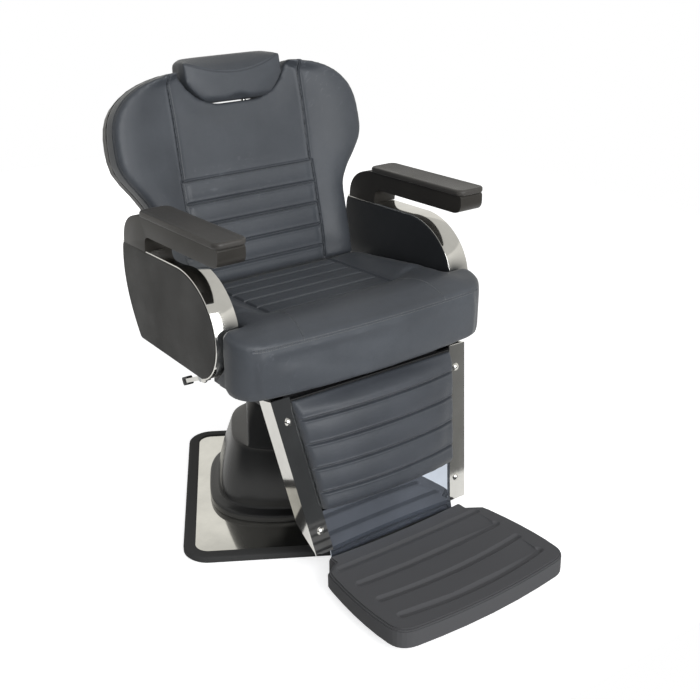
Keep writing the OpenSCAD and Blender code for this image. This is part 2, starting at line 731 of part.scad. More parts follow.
module seat_cushion() color("#4b4e54") skin(
    [for (y = concat([seat_rear, seat_rear - 7],
        [for (y = seam_rows(-crease + 5 * channel_pitch, channel_pitch, 5)) if (y < seat_rear - 17) y],
        [-crease, -116, -131.5, -132.5, -152, -168, -ear_back + 0.2, -ear_back - 0.2, -ear_back - 8, -204,
            -230, -252,
            -seat_front + 7, -seat_front, -seat_front - 6])) seat_row(y)], 15, 2);

// ---------------------------------------------------------------------- arms

// Rests on the arm's rising top edge, where z is 0
module on_arm(x) translate([x * arm_mid, rest_y, arm_top]) rotate([-arm_rise, 0, 0]) children();
function rest_point(u, z) =
    [u * cos(arm_rise) - z * sin(arm_rise) - rest_y, u * sin(arm_rise) + z * cos(arm_rise) + arm_top];

// Outline of the arm as forward and up, its top and front grown by g
function arm_front_edge(g) = concat(
    arc([arm_front - 141, arm_top - 123], 141 + g, 123 + g, 90, 0, 12),
    arc([arm_front - 81, arm_top - 123], 81 + g, arm_h - 123 + g, -9, -76, 8)
);
arm_rear_edge = bezier([-163, arm_z + 2], [-236, arm_z + 108], [-arm_rear, arm_top - 15], 8);
module arm_outline() polygon(concat([rest_point(-242, 0)], arm_front_edge(0),
    [[arm_front - 64, arm_z], [-156, arm_z]], arm_rear_edge));
module band_outline() polygon(concat([rest_point(-242, band_t)], arm_front_edge(band_t),
    [for (i = [21:-1:0]) arm_front_edge(0)[i]], [rest_point(-242, 0)]));

module arm_core(x) color("#2a2826") slab(x * arm_mid, arm_t - 2 * panel_t) arm_outline();
module inner_panel(x) color("#1d1e20") slab(x * (arm_in + panel_t / 2), panel_t) arm_outline();
module outer_panel(x) color("#2e2c29") slab(x * (arm_span / 2 - panel_t / 2), panel_t) arm_outline();
module arm_band(x) color("#e8e8e8") slab(x * arm_mid, arm_t) band_outline();

// Moulded armrest: a foot on the band and a bar over the arm. Its outline
// runs forward and up from the point where the arm's front starts to fall
rest_front = 175;
module armrest(x) color("#242322") on_arm(x) intersection() {
    slab(0, pad_w - 12) polygon(concat(
        bezier([-228, band_t + 5], [-224, rest_top - 9], [-146, rest_top], 8),
        [[rest_front - 3, rest_top], [rest_front, rest_top - 12]],
        bezier([rest_front, rest_top - 16], [rest_front, band_t + 35], [rest_front - 26, band_t + 35], 7),
        bezier([-108, band_t + 35], [-126, band_t + 35], [-128, band_t + 17], 6),
        [[-130, band_t], [-228, band_t]]));
    translate([0, (228 - rest_front) / 2, band_t - 1])
        linear_extrude(rest_h + 2) round_rect(pad_w - 12, 228 + rest_front, 20);
}
module arm_pad(x) color("#2f2d2c") on_arm(x) translate([0, (142 - rest_front - 5) / 2, rest_top]) {
    w = pad_w;
    d = 142 + rest_front + 5;
    linear_extrude(pad_t) round_rect(w - 12, d - 12, 12);
    sweep_round(w, d, 18) polygon(concat([[11, 0], [16, 0], [18, 2]],
        bezier([18, pad_t - 5], [18, pad_t], [12, pad_t], 4), [[11, pad_t]]));
}

module arm_nuts() color("#e8e8e8") for (x = SIDES)
    translate([x * (arm_mid + 12), -90, arm_z - 18]) {
        translate([0, 0, 6]) cylinder(h = 11.7, d = 15, $fn = 6);
        intersection() {
            translate([0, 0, 7]) sphere(d = 14);
            cylinder(h = 7, d = 14);
        }
    }

// Bent steel straps from the frame up the inner faces of the arms
module arm_brackets() color("#3a3c3f") difference() {
    for (x = SIDES, y = bracket_y) arm_strap(x, y);
    x_rod(-arm_in, 30, lever_pin_d, lever_at);
}
module arm_strap(x, y) {
    a = x * (rail_x + tube / 2);
    block([min(a, x * arm_in), y - 20, frame_top - 12], [max(a, x * arm_in), y + 20, frame_top - 6]);
    block([min(x * (arm_in - 6), x * arm_in), y - 20, frame_top - 12],
        [max(x * (arm_in - 6), x * arm_in), y + 20, arm_z + 60]);
}

module hinge_pins() color("#c9cbcd") for (x = SIDES) {
    x_rod(x * (ear_x - 4), ear_t + 16, hinge_pin_d, hinge_at);
    x_rod(x * (ear_x + ear_t / 2 + 2), 4, hinge_pin_d + 8, hinge_at);
    x_rod(x * (ear_x + 3.5), ear_t + 7, leg_pin_d, leg_pivot);
    if (x > 0) x_rod(gas_x, 30, gas_pin_d, gas_front);
}

module lever_pin() color("#c9cbcd") {
    x_rod(-(arm_in + 15), 42, lever_pin_d, lever_at);
    x_rod(-(arm_in + 37.5), 3, lever_pin_d + 7, lever_at);
}

// Bent handle that frees the recline lock
module recline_lever() color("#1b1b1d") difference() {
    union() {
        x_rod(-lever_x, 16, 18, lever_at);
        slab(-lever_x, 8) translate([-lever_at[0], lever_at[1]])
            rotate(180 + atan2(lever_at[1] - lever_tip[1], lever_tip[0] - lever_at[0]))
                translate([0, -4.5]) square([norm(lever_tip - lever_at) - 8, 9]);
    }
    x_rod(-lever_x, 20, lever_pin_d + 2 * run_gap, lever_at);
}
module lever_grip() color("#161618") slab(-lever_x, 13) translate([-lever_at[0], lever_at[1]])
    rotate(180 + atan2(lever_at[1] - lever_tip[1], lever_tip[0] - lever_at[0])) difference() {
        translate([norm(lever_tip - lever_at) - 13, 0]) round_rect(26, 18, 5);
        translate([0, -4.5]) square([norm(lever_tip - lever_at) - 8, 9]);
    }

// -------------------------------------------------------------- recline lock

gas_dir = (gas_rear - gas_front) / norm(gas_rear - gas_front);
gas_tilt = atan2(gas_dir[1], gas_dir[0]);
gas_len = norm(gas_rear - gas_front);
module on_gas() translate([gas_x, gas_front[0], gas_front[1]]) rotate([gas_tilt, 0, 0])
    rotate([-90, 0, 0]) children();
module gas_cylinder() color("#2a2a2c") difference() {
    union() {
        x_rod(gas_x, 13, 22, gas_front);
        on_gas() translate([0, 0, 6]) cylinder(h = 20, d = 12);
        on_gas() translate([0, 0, 21]) cylinder(h = gas_len * 0.45 - 15, d = 20);
    }
    x_rod(gas_x, 16, gas_pin_d + 2 * run_gap, gas_front);
    on_gas() translate([0, 0, 40]) cylinder(h = gas_len, d = 10 + 2 * run_gap);
}
module gas_rod() color("#d9dadb") difference() {
    union() {
        on_gas() translate([0, 0, gas_len * 0.45 - 60]) cylinder(h = gas_len * 0.55 + 50, d = 10);
        x_rod(gas_x, 12, gas_eye + 10, gas_rear);
    }
    x_rod(gas_x, 14, gas_eye, gas_rear);
}

// ---------------------------------------------------------------------- back

module back_frame() color("#3a3c3f") difference() {
    union() {
        x_rod(0, 2 * (ear_x - ear_t / 2 - 1), torque_d, hinge_at);
        for (x = SIDES) {
            link_bar(x * (link_x - link_t - 1), link_t, hinge_at, rear_pin, 24, link_pin_d);
            link_bar(gas_x + x * 9, 5, hinge_at, gas_rear, 20, gas_pin_d);
            on_back()
                block([x * 140 - 20, back_foam + 12, hinge_s + 8], [x * 140 + 20, hinge_n + 2.3, 300]);
        }
        on_back() block([-160, hinge_n + 2.3, 270], [160, hinge_n + 7.3, 300]);
    }
    for (x = SIDES) x_rod(x * (ear_x - 10), 24, hinge_pin_d + 2 * run_gap, hinge_at);
}

// Headed pin through a lever and a link rod
module link_pin(x, p) {
    x_rod(x * (link_x - 2.5), link_t * 2 + 4, link_pin_d, p);
    x_rod(x * (link_x + link_t / 2 + 3), 5, link_pin_d + 5, p);
}
module back_pins() color("#c9cbcd") {
    for (x = SIDES) link_pin(x, rear_pin);
    x_rod(gas_x, 26, gas_pin_d, gas_rear);
}
module leg_pins() color("#c9cbcd") for (x = SIDES) link_pin(x, front_pin);

module back_board() color("#b08a5a") on_back() difference() {
    translate([0, back_foam + 12, 0]) rotate([90, 0, 0]) linear_extrude(12) difference() {
        polygon(back_edge(22));
        notch(13);
    }
    for (x = SIDES) block([x * bar_x - guide_d / 2 - 0.6, back_foam - 1, notch_s - guide_l - 4],
        [x * bar_x + guide_d / 2 + 0.6, back_foam + 14, back_l]);
}

// Padded tray over the back of the board and its steel
module shell_form(g, depth) translate([0, back_foam, 250]) rotate([90, 0, 0]) mirror([0, 0, 1])
    linear_extrude(depth, scale = 0.97) translate([0, -250]) difference() {
        polygon(back_edge(g));
        notch(g - 2);
    }
module back_shell() color("#3a3b40") on_back() difference() {
    shell_form(6, 40);
    translate([0, -0.01, 0]) shell_form(12, 35);
    for (x = SIDES) block([x * 140 - 24, back_foam + 8, 0], [x * 140 + 24, hinge_n + 6, 60]);
    for (x = SIDES) block(
        [x * bar_x - 12, back_foam + 2, notch_s - 30],
        [x * bar_x + 12, back_foam + 30, notch_s + 10]);
}

module back_cushion() color("#4b4e54") on_back() difference() {
    skin([for (s = concat(
        [back_l, back_l - 4, back_l - 10, back_l - 22, back_l - 40, back_l - 64, back_l - 92, back_l - 124],
        [330, 300, 275, 258],
        [for (s = seam_rows(back_panel_top, channel_pitch, 4)) s],
        [back_panel_top - 4 * channel_pitch, 30, 18, 9, back_foot])) back_row(s)], 15, 2);
    translate([0, 60, 0]) rotate([90, 0, 0]) linear_extrude(140) notch(0);
}

module headrest_guides() color("#55585b") on_back() for (x = SIDES)
    translate([x * bar_x, bar_n, notch_s - 2 - guide_l]) difference() {
        cylinder(h = guide_l, d = guide_d);
        translate([0, 0, -1]) cylinder(h = guide_l + 2, d = bar_d + 2 * run_gap);
    }

module headrest_pillow() color("#4b4e54") on_back() difference() {
    skin([
        for (t = [1, 0.985, 0.95, 0.9, 0.82, 0.74, 0.66, 0.56, 0.44, 0.32, 0.2, 0.1, 0.04, 0])
            head_row(head_s + t * head_l)
    ], 11, 2);
    for (x = SIDES) translate([x * bar_x, bar_n - 8, head_s - 1]) cylinder(h = 20, d = bar_d);
}

module headrest_bars() color("#e8e8e8") on_back() {
    for (x = SIDES) translate([x * bar_x, bar_n, head_s + 2 - guide_l])
        cylinder(h = guide_l - 6, d = bar_d);
    for (x = SIDES) translate([x * bar_x, bar_n - 8, head_s - 4]) cylinder(h = 22, d = bar_d);
    block([-76, 6, head_s - 4], [76, bar_n + 9, head_s]);
}

// ------------------------------------------------------------------- linkage

module link_rods() color("#8f9295") {
    for (x = SIDES) difference() {
        link_bar(x * link_x, link_t, rear_pin, front_pin, link_w, link_pin_d + 2 * run_gap);
        x_rod(x * link_x, link_t + 2, link_pin_d + 2, front_pin);
    }
    x_rod(0, 2 * link_x - link_t + 1, 12, rear_pin + 0.95 * (front_pin - rear_pin));
}

// ------------------------------------------------------------------- legrest

taper = atan2(leg_top - leg_foot, leg_l);
module leg_bracket(x) color("#e4e5e6") difference() {
    union() {
        on_leg() {
            rotate([90, 0, 0]) translate([0, 0, -bracket_t]) linear_extrude(bracket_t) polygon([
                [x * leg_foot, 0], [x * (leg_foot - flange_w + 1), 0],
                [x * (leg_top - flange_w), leg_l], [x * leg_top, leg_l]]);
            intersection() {
                translate([x * leg_foot, 0, 0]) rotate([0, x * taper, 0])
                    translate([x < 0 ? 0 : -bracket_t, 0, 0])
                        rotate([90, 0, 90]) linear_extrude(bracket_t) polygon(side_flange);
                block([-400, -10, 0], [400, 80, leg_l]);
            }
        }
        x_rod(x * (ear_x + ear_t / 2 + 5), 9, 20, leg_pivot);
    }
    x_rod(x * (ear_x + 5), 13.6, leg_pin_d + 2 * run_gap, leg_pivot);
    for (b = bolt_places) bolt_bore(x, b);
}
// Side flange of a bracket, as depth and height; it narrows above its foot
side_flange = [
    [0, -40], [2, -40], [2, 3], [flange_d - 2, 62],
    [flange_d, 68], [flange_d, leg_l + 40], [0, leg_l + 40]
];
module bolt_bore(x, place) on_leg() translate([x * place[0], -1, place[1]]) rotate([-90, 0, 0])
    cylinder(h = 22, d = bolt_d);
bolt_places = [[leg_half(297) - 26, 297], [leg_half(50) - 26, 50]];
bolt_d = 8;

module mirror_plate() color("#dcdde0") on_leg() difference() {
    translate([0, bracket_t + 2, 0]) rotate([90, 0, 0]) linear_extrude(2) polygon([
        [38 - leg_foot, -18], [leg_foot - 38, -18], [leg_foot - 38, 0], [leg_foot - 5, 0],
        [leg_half(88) - 5, 88], [-leg_half(88) + 5, 88], [-leg_foot + 5, 0], [38 - leg_foot, 0]]);
    for (x = SIDES) translate([x * bolt_places[1][0], 0, bolt_places[1][1]])
        rotate([-90, 0, 0]) cylinder(h = 12, d = bolt_d);
}

module calf_board() color("#b08a5a") on_leg() difference() {
    translate([0, bracket_t + 12, 0]) rotate([90, 0, 0]) linear_extrude(12) polygon([
        [-leg_half(94) + 6, 94], [leg_half(94) - 6, 94],
        [leg_half(calf_top) - 25, calf_top], [-leg_half(calf_top) + 25, calf_top]]);
    for (x = SIDES) translate([x * bolt_places[0][0], 0, bolt_places[0][1]])
        rotate([-90, 0, 0]) cylinder(h = 22, d = bolt_d);
}

module calf_pad() color("#4b4e54") on_leg() skin(
    [for (s = concat([calf_top, calf_top - 7, calf_top - 20, calf_top - 34],
        [for (s = seam_rows(calf_foot + 41 + 3 * calf_pitch, calf_pitch, 3)) s],
        [calf_foot + 41, calf_foot + 32, calf_foot + 16, calf_foot + 5, calf_foot])) calf_row(s)], 11, 1);

// Steel bar behind the board, with the ears of the link rods
module leg_crossbar() color("#3a3c3f") {
    on_leg() block([-leg_half(240) + 5, bracket_t + 12, 230], [leg_half(240) - 5, bracket_t + 20, 262]);
    difference() {
        for (x = SIDES) slab(x * (link_x - link_t - 1), link_t) union() {
            translate([-front_pin[0], front_pin[1]]) circle(12);
            polygon([for (p = [[16 + bracket_t, 262], [20 + bracket_t, 232]]) leg_point(p),
                [-front_pin[0] + 4, front_pin[1] - 11.3], [-front_pin[0] - 4, front_pin[1] + 11.3]]);
        }
        for (x = SIDES) x_rod(x * (link_x - link_t - 1), 10, link_pin_d, front_pin);
    }
}
// Point of the legrest's own axes, depth and height, as forward and up
function leg_point(p) = [
    -(leg_y + p[0] * cos(leg_tilt) + p[1] * sin(leg_tilt)),
    leg_z - p[0] * sin(leg_tilt) + p[1] * cos(leg_tilt)
];

module leg_bolts() color("#e8e8e8") on_leg() for (x = SIDES, b = bolt_places)
    translate([x * b[0], 0, b[1]]) rotate([90, 0, 0]) {
        translate([0, 0, b[1] > 100 ? -16 : -6]) cylinder(h = b[1] > 100 ? 16 : 6, d = bolt_d);
        intersection() {
            translate([0, 0, -5]) sphere(r = 10);
            cylinder(h = 6, d = 17);
        }
    }

// ------------------------------------------------------------------ footrest

module footrest_hinge() color("#8f9295") {
    for (x = SIDES) {
        a = min(x * knuckle[0], x * knuckle[1]);
        b = a + knuckle[1] - knuckle[0];
        x_rod((a + b) / 2, b - a, 2 * barrel_r, foot_hinge);
        block([a + 3, foot_hinge[0] - 2, foot_hinge[1] - 16], [b - 3, leg_y + 9, foot_hinge[1] - 5]);
        on_leg() block([a, bracket_t + 2, -36], [b, bracket_t + 6, 40]);
    }
    x_rod(0, 2 * neck_w - 32, foot_pin_d, foot_hinge);
}

// Outline of the tread, drawn in by g; the front edge and the sides are bowed
function tread_half(g) = concat(
    [[neck_w - g, foot_rear + 1], [neck_w - g, neck_y - g]],
    [[foot_w - 15 - g, neck_y - 22 - g]],
    bezier([foot_w - 11 - g, neck_y - 40], [foot_w + 6 - g, (neck_y - foot_front) / 2 - 10],
        [foot_w - 2.5 - g, 58 - foot_front], 5),
    bezier([foot_w - 2.5 - g, 58 - foot_front], [foot_w - 6 - g, 24 - foot_front + g],
        [foot_w - 43, 18.5 - foot_front + g], 6),
    [for (x = [130, 70, 0]) [x, 7 + g - foot_front + 18 * pow(x / foot_w, 2)]]
);
function tread_edge(g) = let (h = tread_half(g), n = len(h))
    concat(h, [for (i = [n - 2:-1:0]) [-h[i][0], h[i][1]]]);

// Turns about the tread's rear edge, so that its top rises to the front
module on_tread() translate([0, foot_rear, foot_z]) rotate([-foot_rise, 0, 0])
    translate([0, -foot_rear, 0]) children();

// Groove across the tread, bowed to the front and round at both ends
groove_l = 183;
module groove(i) {
    bow = 3 + 5 * i;
    r = (groove_l * groove_l + bow * bow) / 2 / bow;
    a = asin(groove_l / r);
    translate([0, -385 - groove_pitch * i - bow + r, 0]) rotate([0, 0, 270]) {
        rotate([0, 0, -a]) rotate_extrude(angle = 2 * a, $fn = 400)
            polygon([[r - 15, 3], [r - 4, -4.6], [r + 4, -4.6], [r + 15, 3]]);
        for (t = SIDES) rotate([0, 0, t * a]) translate([r, 0, -4.6])
            cylinder(h = 7.6, r1 = 4, r2 = 15, $fn = 32);
    }
}
module footrest_tread() color("#232426") difference() {
    on_tread() {
        translate([0, 0, -foot_t - 12]) linear_extrude(foot_t + 6) polygon(tread_edge(0));
        translate([0, 0, -6]) linear_extrude(3.5) polygon(tread_edge(1.5));
        translate([0, 0, -2.5]) linear_extrude(2.5) polygon(tread_edge(5));
    }
    block([-300, -foot_front - 40, 0], [300, -300, foot_z - foot_t]);
    translate([0, 0, foot_z - foot_t - 1]) linear_extrude(8) polygon(tread_edge(14));
    on_tread() for (i = [0:grooves - 1]) groove(i);
    block([-166, foot_hinge[0] - 14, foot_z - foot_t - 1], [166, foot_rear + 20, foot_z - 7]);
    translate([0, foot_rear - 8 + 2029, 0]) cylinder(h = 100, r = 2029, $fn = 500);
}

// Steel plate under the tread, with the barrels of the hinge
module footrest_core() color("#6d7073") {
    p = foot_z - foot_t;
    translate([0, 0, p]) linear_extrude(7) difference() {
        polygon(tread_edge(14));
        translate([-300, foot_hinge[0] - 14]) square([600, 60]);
    }
    difference() {
        for (b = [[-162, -knuckle[1] - 1], [-knuckle[0] + 1, knuckle[0] - 1], [knuckle[1] + 1, 162]]) {
            x_rod((b[0] + b[1]) / 2, b[1] - b[0], 2 * barrel_r, foot_hinge);
            block([b[0], foot_hinge[0] - 15, p], [b[1], foot_hinge[0], p + 7]);
            block([b[0], foot_hinge[0] - 8, p], [b[1], foot_hinge[0], foot_hinge[1]]);
        }
        x_rod(0, 500, foot_pin_d + 2 * run_gap, foot_hinge);
    }
}

// --------------------------------------------------------------------- nodes

base_rim();
base_plate();
column_cover();
cover_collar();
pump_cylinder();
pump_gland();
pump_bolts();
pump_block();
pedal_pin();
pedal_lever();
pedal_pad();
ram();
ram_seal();
thrust_bearing();
spindle_nut();
swivel_hub();
hub_bolts();
seat_frame();
seat_board();
seat_cushion();
arm_brackets();
hinge_pins();
lever_pin();
arm_core(-1);  // arm_core_left
arm_core(1);  // arm_core_right
inner_panel(-1);  // inner_panel_left
inner_panel(1);  // inner_panel_right
outer_panel(-1);  // outer_panel_left
outer_panel(1);  // outer_panel_right
arm_band(-1);  // arm_band_left
arm_band(1);  // arm_band_right
armrest(-1);  // armrest_left
armrest(1);  // armrest_right
arm_pad(-1);  // arm_pad_left
arm_pad(1);  // arm_pad_right
arm_nuts();
recline_lever();
lever_grip();
gas_cylinder();
gas_rod();
back_frame();
back_board();
back_shell();
back_cushion();
headrest_guides();
headrest_pillow();
headrest_bars();
back_pins();
link_rods();
leg_pins();
leg_bracket(-1);  // leg_bracket_left
leg_bracket(1);  // leg_bracket_right
mirror_plate();
calf_board();
calf_pad();
leg_crossbar();
leg_bolts();
footrest_hinge();
footrest_core();
footrest_tread();
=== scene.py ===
"""Looks of the hydraulic barber chair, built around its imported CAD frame.

Lengths of the chair's own pieces are written in millimetres and turned into
metres when a mesh is made. +Z is up and the chair faces -Y.
"""

import json
import logging
import math
from contextlib import contextmanager
from dataclasses import dataclass
from enum import Enum
from typing import Callable, Iterator, Sequence

import bmesh
import bpy
import numpy as np
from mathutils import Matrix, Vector
from mathutils.bvhtree import BVHTree
from mathutils.kdtree import KDTree

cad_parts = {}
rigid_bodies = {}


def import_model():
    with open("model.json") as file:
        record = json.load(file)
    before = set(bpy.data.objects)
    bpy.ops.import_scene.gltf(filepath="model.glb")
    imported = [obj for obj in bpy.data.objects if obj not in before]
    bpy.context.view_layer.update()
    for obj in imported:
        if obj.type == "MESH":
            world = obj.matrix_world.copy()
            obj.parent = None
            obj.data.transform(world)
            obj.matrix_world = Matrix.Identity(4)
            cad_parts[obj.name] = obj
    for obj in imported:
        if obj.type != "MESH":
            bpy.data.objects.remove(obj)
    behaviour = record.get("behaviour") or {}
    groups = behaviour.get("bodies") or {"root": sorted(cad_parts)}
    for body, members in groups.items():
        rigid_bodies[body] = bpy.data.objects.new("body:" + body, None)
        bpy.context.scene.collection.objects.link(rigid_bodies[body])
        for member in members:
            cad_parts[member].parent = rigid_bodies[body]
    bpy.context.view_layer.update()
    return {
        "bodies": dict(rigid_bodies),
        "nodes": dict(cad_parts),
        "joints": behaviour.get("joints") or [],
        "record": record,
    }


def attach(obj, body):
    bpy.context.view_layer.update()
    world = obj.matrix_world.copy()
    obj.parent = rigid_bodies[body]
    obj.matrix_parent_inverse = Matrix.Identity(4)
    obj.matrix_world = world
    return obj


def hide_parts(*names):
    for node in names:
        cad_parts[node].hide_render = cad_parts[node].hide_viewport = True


MM = 0.001
SIDES = (-1, 1)
FAR = 1e9
Colour = tuple[float, float, float]
Point = tuple[float, float]
Piece = bpy.types.Object
EditMesh = bmesh.types.BMesh
Node = bpy.types.Node
Socket = bpy.types.NodeSocket
log = logging.getLogger("barber_chair")


# ---------------------------------------------------------------- plain maths


def mix(a: float, b: float, t: float) -> float:
    """Returns the value a share t of the way from a to b."""
    return a + (b - a) * t


def smooth(t: float) -> float:
    """Returns an even step from 0 to 1 as t goes from 0 to 1."""
    s = min(max(t, 0.0), 1.0)
    return s * s * (3 - 2 * s)


def arc(c: Point, rx: float, ry: float, a: float, b: float, n: int) -> list[Point]:
    """Points of an elliptical arc.

    Args:
        c: centre of the arc.
        rx: radius along the first axis.
        ry: radius along the second axis.
        a: first angle in degrees.
        b: last angle in degrees.
        n: number of steps.

    Returns:
        n + 1 points from the first angle to the last.
    """
    turns = [math.radians(mix(a, b, i / n)) for i in range(n + 1)]
    return [(c[0] + rx * math.cos(t), c[1] + ry * math.sin(t)) for t in turns]


def bezier(a: Point, b: Point, c: Point, n: int) -> list[Point]:
    """Points of a quadratic curve from a to c that leans towards b.

    Args:
        a: first point.
        b: point that pulls the curve.
        c: last point.
        n: number of steps.

    Returns:
        n + 1 points along the curve.
    """
    steps = [i / n for i in range(n + 1)]
    return [
        tuple((1 - t) ** 2 * a[k] + 2 * t * (1 - t) * b[k] + t * t * c[k] for k in (0, 1))
        for t in steps
    ]


def billow(f: np.ndarray, power: float) -> np.ndarray:
    """Returns 0 on the channel seams, at whole numbers of f, and 1 midway between them."""
    return np.abs(np.sin(np.pi * f)) ** power


@dataclass(frozen=True)
class Axes:
    """Own axes of a leaning part: x across, n into its depth and s up its slope."""

    y: float
    z: float
    lean: float

    def world(self, p: np.ndarray) -> np.ndarray:
        """Turns points of the part's own axes into the chair's frame.

        Args:
            p: points x, n, s in millimetres.

        Returns:
            The points x, y, z in metres.
        """
        c, s = math.cos(math.radians(self.lean)), math.sin(math.radians(self.lean))
        q = np.empty(p.shape)
        q[..., 0] = p[..., 0]
        q[..., 1] = self.y + p[..., 1] * c + p[..., 2] * s
        q[..., 2] = self.z - p[..., 1] * s + p[..., 2] * c
        return q * MM

    def own(self, p: np.ndarray) -> np.ndarray:
        """Turns points of the chair's frame into the part's own axes.

        Args:
            p: points x, y, z in metres.

        Returns:
            The points x, n, s in millimetres.
        """
        c, s = math.cos(math.radians(self.lean)), math.sin(math.radians(self.lean))
        y, z = p[..., 1] / MM - self.y, p[..., 2] / MM - self.z
        return np.stack([p[..., 0] / MM, y * c - z * s, y * s + z * c], -1)


UPRIGHT = Axes(0.0, 0.0, 0.0)
BACK = Axes(166.3, 490.0, 13.85)
LEG = Axes(-326.634, 67.1, 13.0)


# ------------------------------------------------------------------ workbench


class Bench:
    """Modelling by hand: primitives, edit mode and modifiers, with nothing left selected."""

    @staticmethod
    def clear() -> None:
        """Leaves edit mode and deselects everything."""
        if bpy.context.object and bpy.context.object.mode != "OBJECT":
            bpy.ops.object.mode_set(mode="OBJECT")
        bpy.ops.object.select_all(action="DESELECT")

    @classmethod
    def outline(cls, name: str, points: np.ndarray, filled: bool) -> Piece:
        """Adds a circle primitive and shapes it into a closed outline.

        Args:
            name: name of the new piece.
            points: outline in metres, one row for each corner.
            filled: true for a flat face inside the outline.

        Returns:
            The piece with that outline.
        """
        cls.clear()
        fill = "NGON" if filled else "NOTHING"
        bpy.ops.mesh.primitive_circle_add(vertices=len(points), radius=1, fill_type=fill)
        piece = bpy.context.object
        piece.name = piece.data.name = name
        move(piece, np.asarray(points, float))
        return piece

    @classmethod
    @contextmanager
    def edit(cls, piece: Piece) -> Iterator[EditMesh]:
        """Opens a piece in edit mode with all of it deselected, and closes it afterwards.

        Args:
            piece: the piece to work on.

        Returns:
            The mesh being edited, for as long as the with block lasts.
        """
        cls.clear()
        piece.select_set(True)
        bpy.context.view_layer.objects.active = piece
        bpy.ops.object.mode_set(mode="EDIT")
        bpy.ops.mesh.select_all(action="DESELECT")
        yield bmesh.from_edit_mesh(piece.data)
        bpy.ops.object.mode_set(mode="OBJECT")
        piece.select_set(False)

    @staticmethod
    def pick_faces(mesh: EditMesh, piece: Piece, test: Callable) -> None:
        """Selects faces.

        Args:
            mesh: the mesh being edited.
            piece: the piece that it belongs to.
            test: says of a face whether it is selected.
        """
        for face in mesh.faces:
            face.select_set(bool(test(face)))
        bmesh.update_edit_mesh(piece.data)

    @staticmethod
    def pick_edges(mesh: EditMesh, piece: Piece, test: Callable) -> None:
        """Selects edges.

        Args:
            mesh: the mesh being edited.
            piece: the piece that it belongs to.
            test: says of an edge whether it is selected.
        """
        bpy.ops.mesh.select_mode(type="EDGE")
        for edge in mesh.edges:
            edge.select_set(bool(test(edge)))
        bmesh.update_edit_mesh(piece.data)

    @staticmethod
    def extrude(step: Sequence[float]) -> None:
        """Extrudes what is selected by a step in metres."""
        bpy.ops.mesh.extrude_region_move(TRANSFORM_OT_translate={"value": tuple(step)})

    @classmethod
    def modify(cls, piece: Piece, kind: str, **values: object) -> None:
        """Adds a modifier and applies it.

        Args:
            piece: the piece that it shapes.
            kind: the modifier's type.
            values: the modifier's settings by name.
        """
        cls.clear()
        piece.select_set(True)
        bpy.context.view_layer.objects.active = piece
        modifier = piece.modifiers.new(kind.title(), kind)
        for key, value in values.items():
            setattr(modifier, key, value)
        bpy.ops.object.modifier_apply(modifier=modifier.name)
        piece.select_set(False)

    @classmethod
    def outward(cls, piece: Piece) -> None:
        """Merges doubles and points every face outwards.

        Args:
            piece: closed mesh.
        """
        with cls.edit(piece):
            bpy.ops.mesh.select_all(action="SELECT")
            bpy.ops.mesh.remove_doubles(threshold=1e-6)
            bpy.ops.mesh.normals_make_consistent(inside=False)

    @classmethod
    def soften(cls, piece: Piece, width: float, segments: int, angle: float, shade: float) -> None:
        """Rounds the sharp edges of a piece and shades the rest smooth.

        Args:
            piece: closed mesh.
            width: width of the rounding in millimetres.
            segments: faces across the rounding.
            angle: edges sharper than this many degrees are rounded.
            shade: edges sharper than this many degrees stay sharp in the shading.
        """
        cls.modify(
            piece, "BEVEL", width=width * MM, segments=segments, limit_method="ANGLE",
            angle_limit=math.radians(angle),
        )
        cls.shade(piece, shade)

    @classmethod
    def shade(cls, piece: Piece, angle: float) -> None:
        """Shades a piece smooth, apart from its sharp edges.

        Args:
            piece: the piece.
            angle: edges sharper than this many degrees stay sharp.
        """
        cls.clear()
        piece.select_set(True)
        bpy.context.view_layer.objects.active = piece
        bpy.ops.object.shade_smooth_by_angle(angle=math.radians(angle))
        piece.select_set(False)

    @classmethod
    def prism(cls, name: str, outline: np.ndarray, step: Sequence[float]) -> Piece:
        """Makes a closed block by extruding an outline.

        Args:
            name: name of the new piece.
            outline: outline in metres.
            step: extrusion in metres.

        Returns:
            The closed piece with its faces outwards.
        """
        piece = cls.outline(name, outline, filled=True)
        with cls.edit(piece):
            bpy.ops.mesh.select_all(action="SELECT")
            cls.extrude(step)
        cls.outward(piece)
        return piece

    @staticmethod
    def from_rings(name: str, rings: np.ndarray) -> Piece:
        """Makes a closed skin over rings of points.

        Args:
            name: name of the new piece.
            rings: rings, points and coordinates in metres.

        Returns:
            The piece, with both end rings closed.
        """
        count, each = rings.shape[:2]
        faces = [
            (r * each + i, r * each + (i + 1) % each, (r + 1) * each + (i + 1) % each, (r + 1) * each + i)
            for r in range(count - 1)
            for i in range(each)
        ]
        faces += [tuple(range(each))[::-1], tuple(range((count - 1) * each, count * each))]
        piece = from_corners(name, rings.reshape(-1, 3).tolist(), faces)
        Bench.outward(piece)
        return piece


def from_corners(name: str, corners: list, faces: list) -> Piece:
    """Makes a piece from its corners and faces.

    Args:
        name: name of the new piece.
        corners: places in metres.
        faces: numbers of the corners of each face.

    Returns:
        The new piece, in the scene.
    """
    mesh = bpy.data.meshes.new(name)
    mesh.from_pydata(corners, [], faces)
    piece = bpy.data.objects.new(name, mesh)
    bpy.context.scene.collection.objects.link(piece)
    return piece


def coords(piece: Piece) -> np.ndarray:
    """Reads where a piece's vertices are.

    Args:
        piece: a mesh piece.

    Returns:
        One row of x, y, z in metres for each vertex.
    """
    co = np.empty(len(piece.data.vertices) * 3)
    piece.data.vertices.foreach_get("co", co)
    return co.reshape(-1, 3)


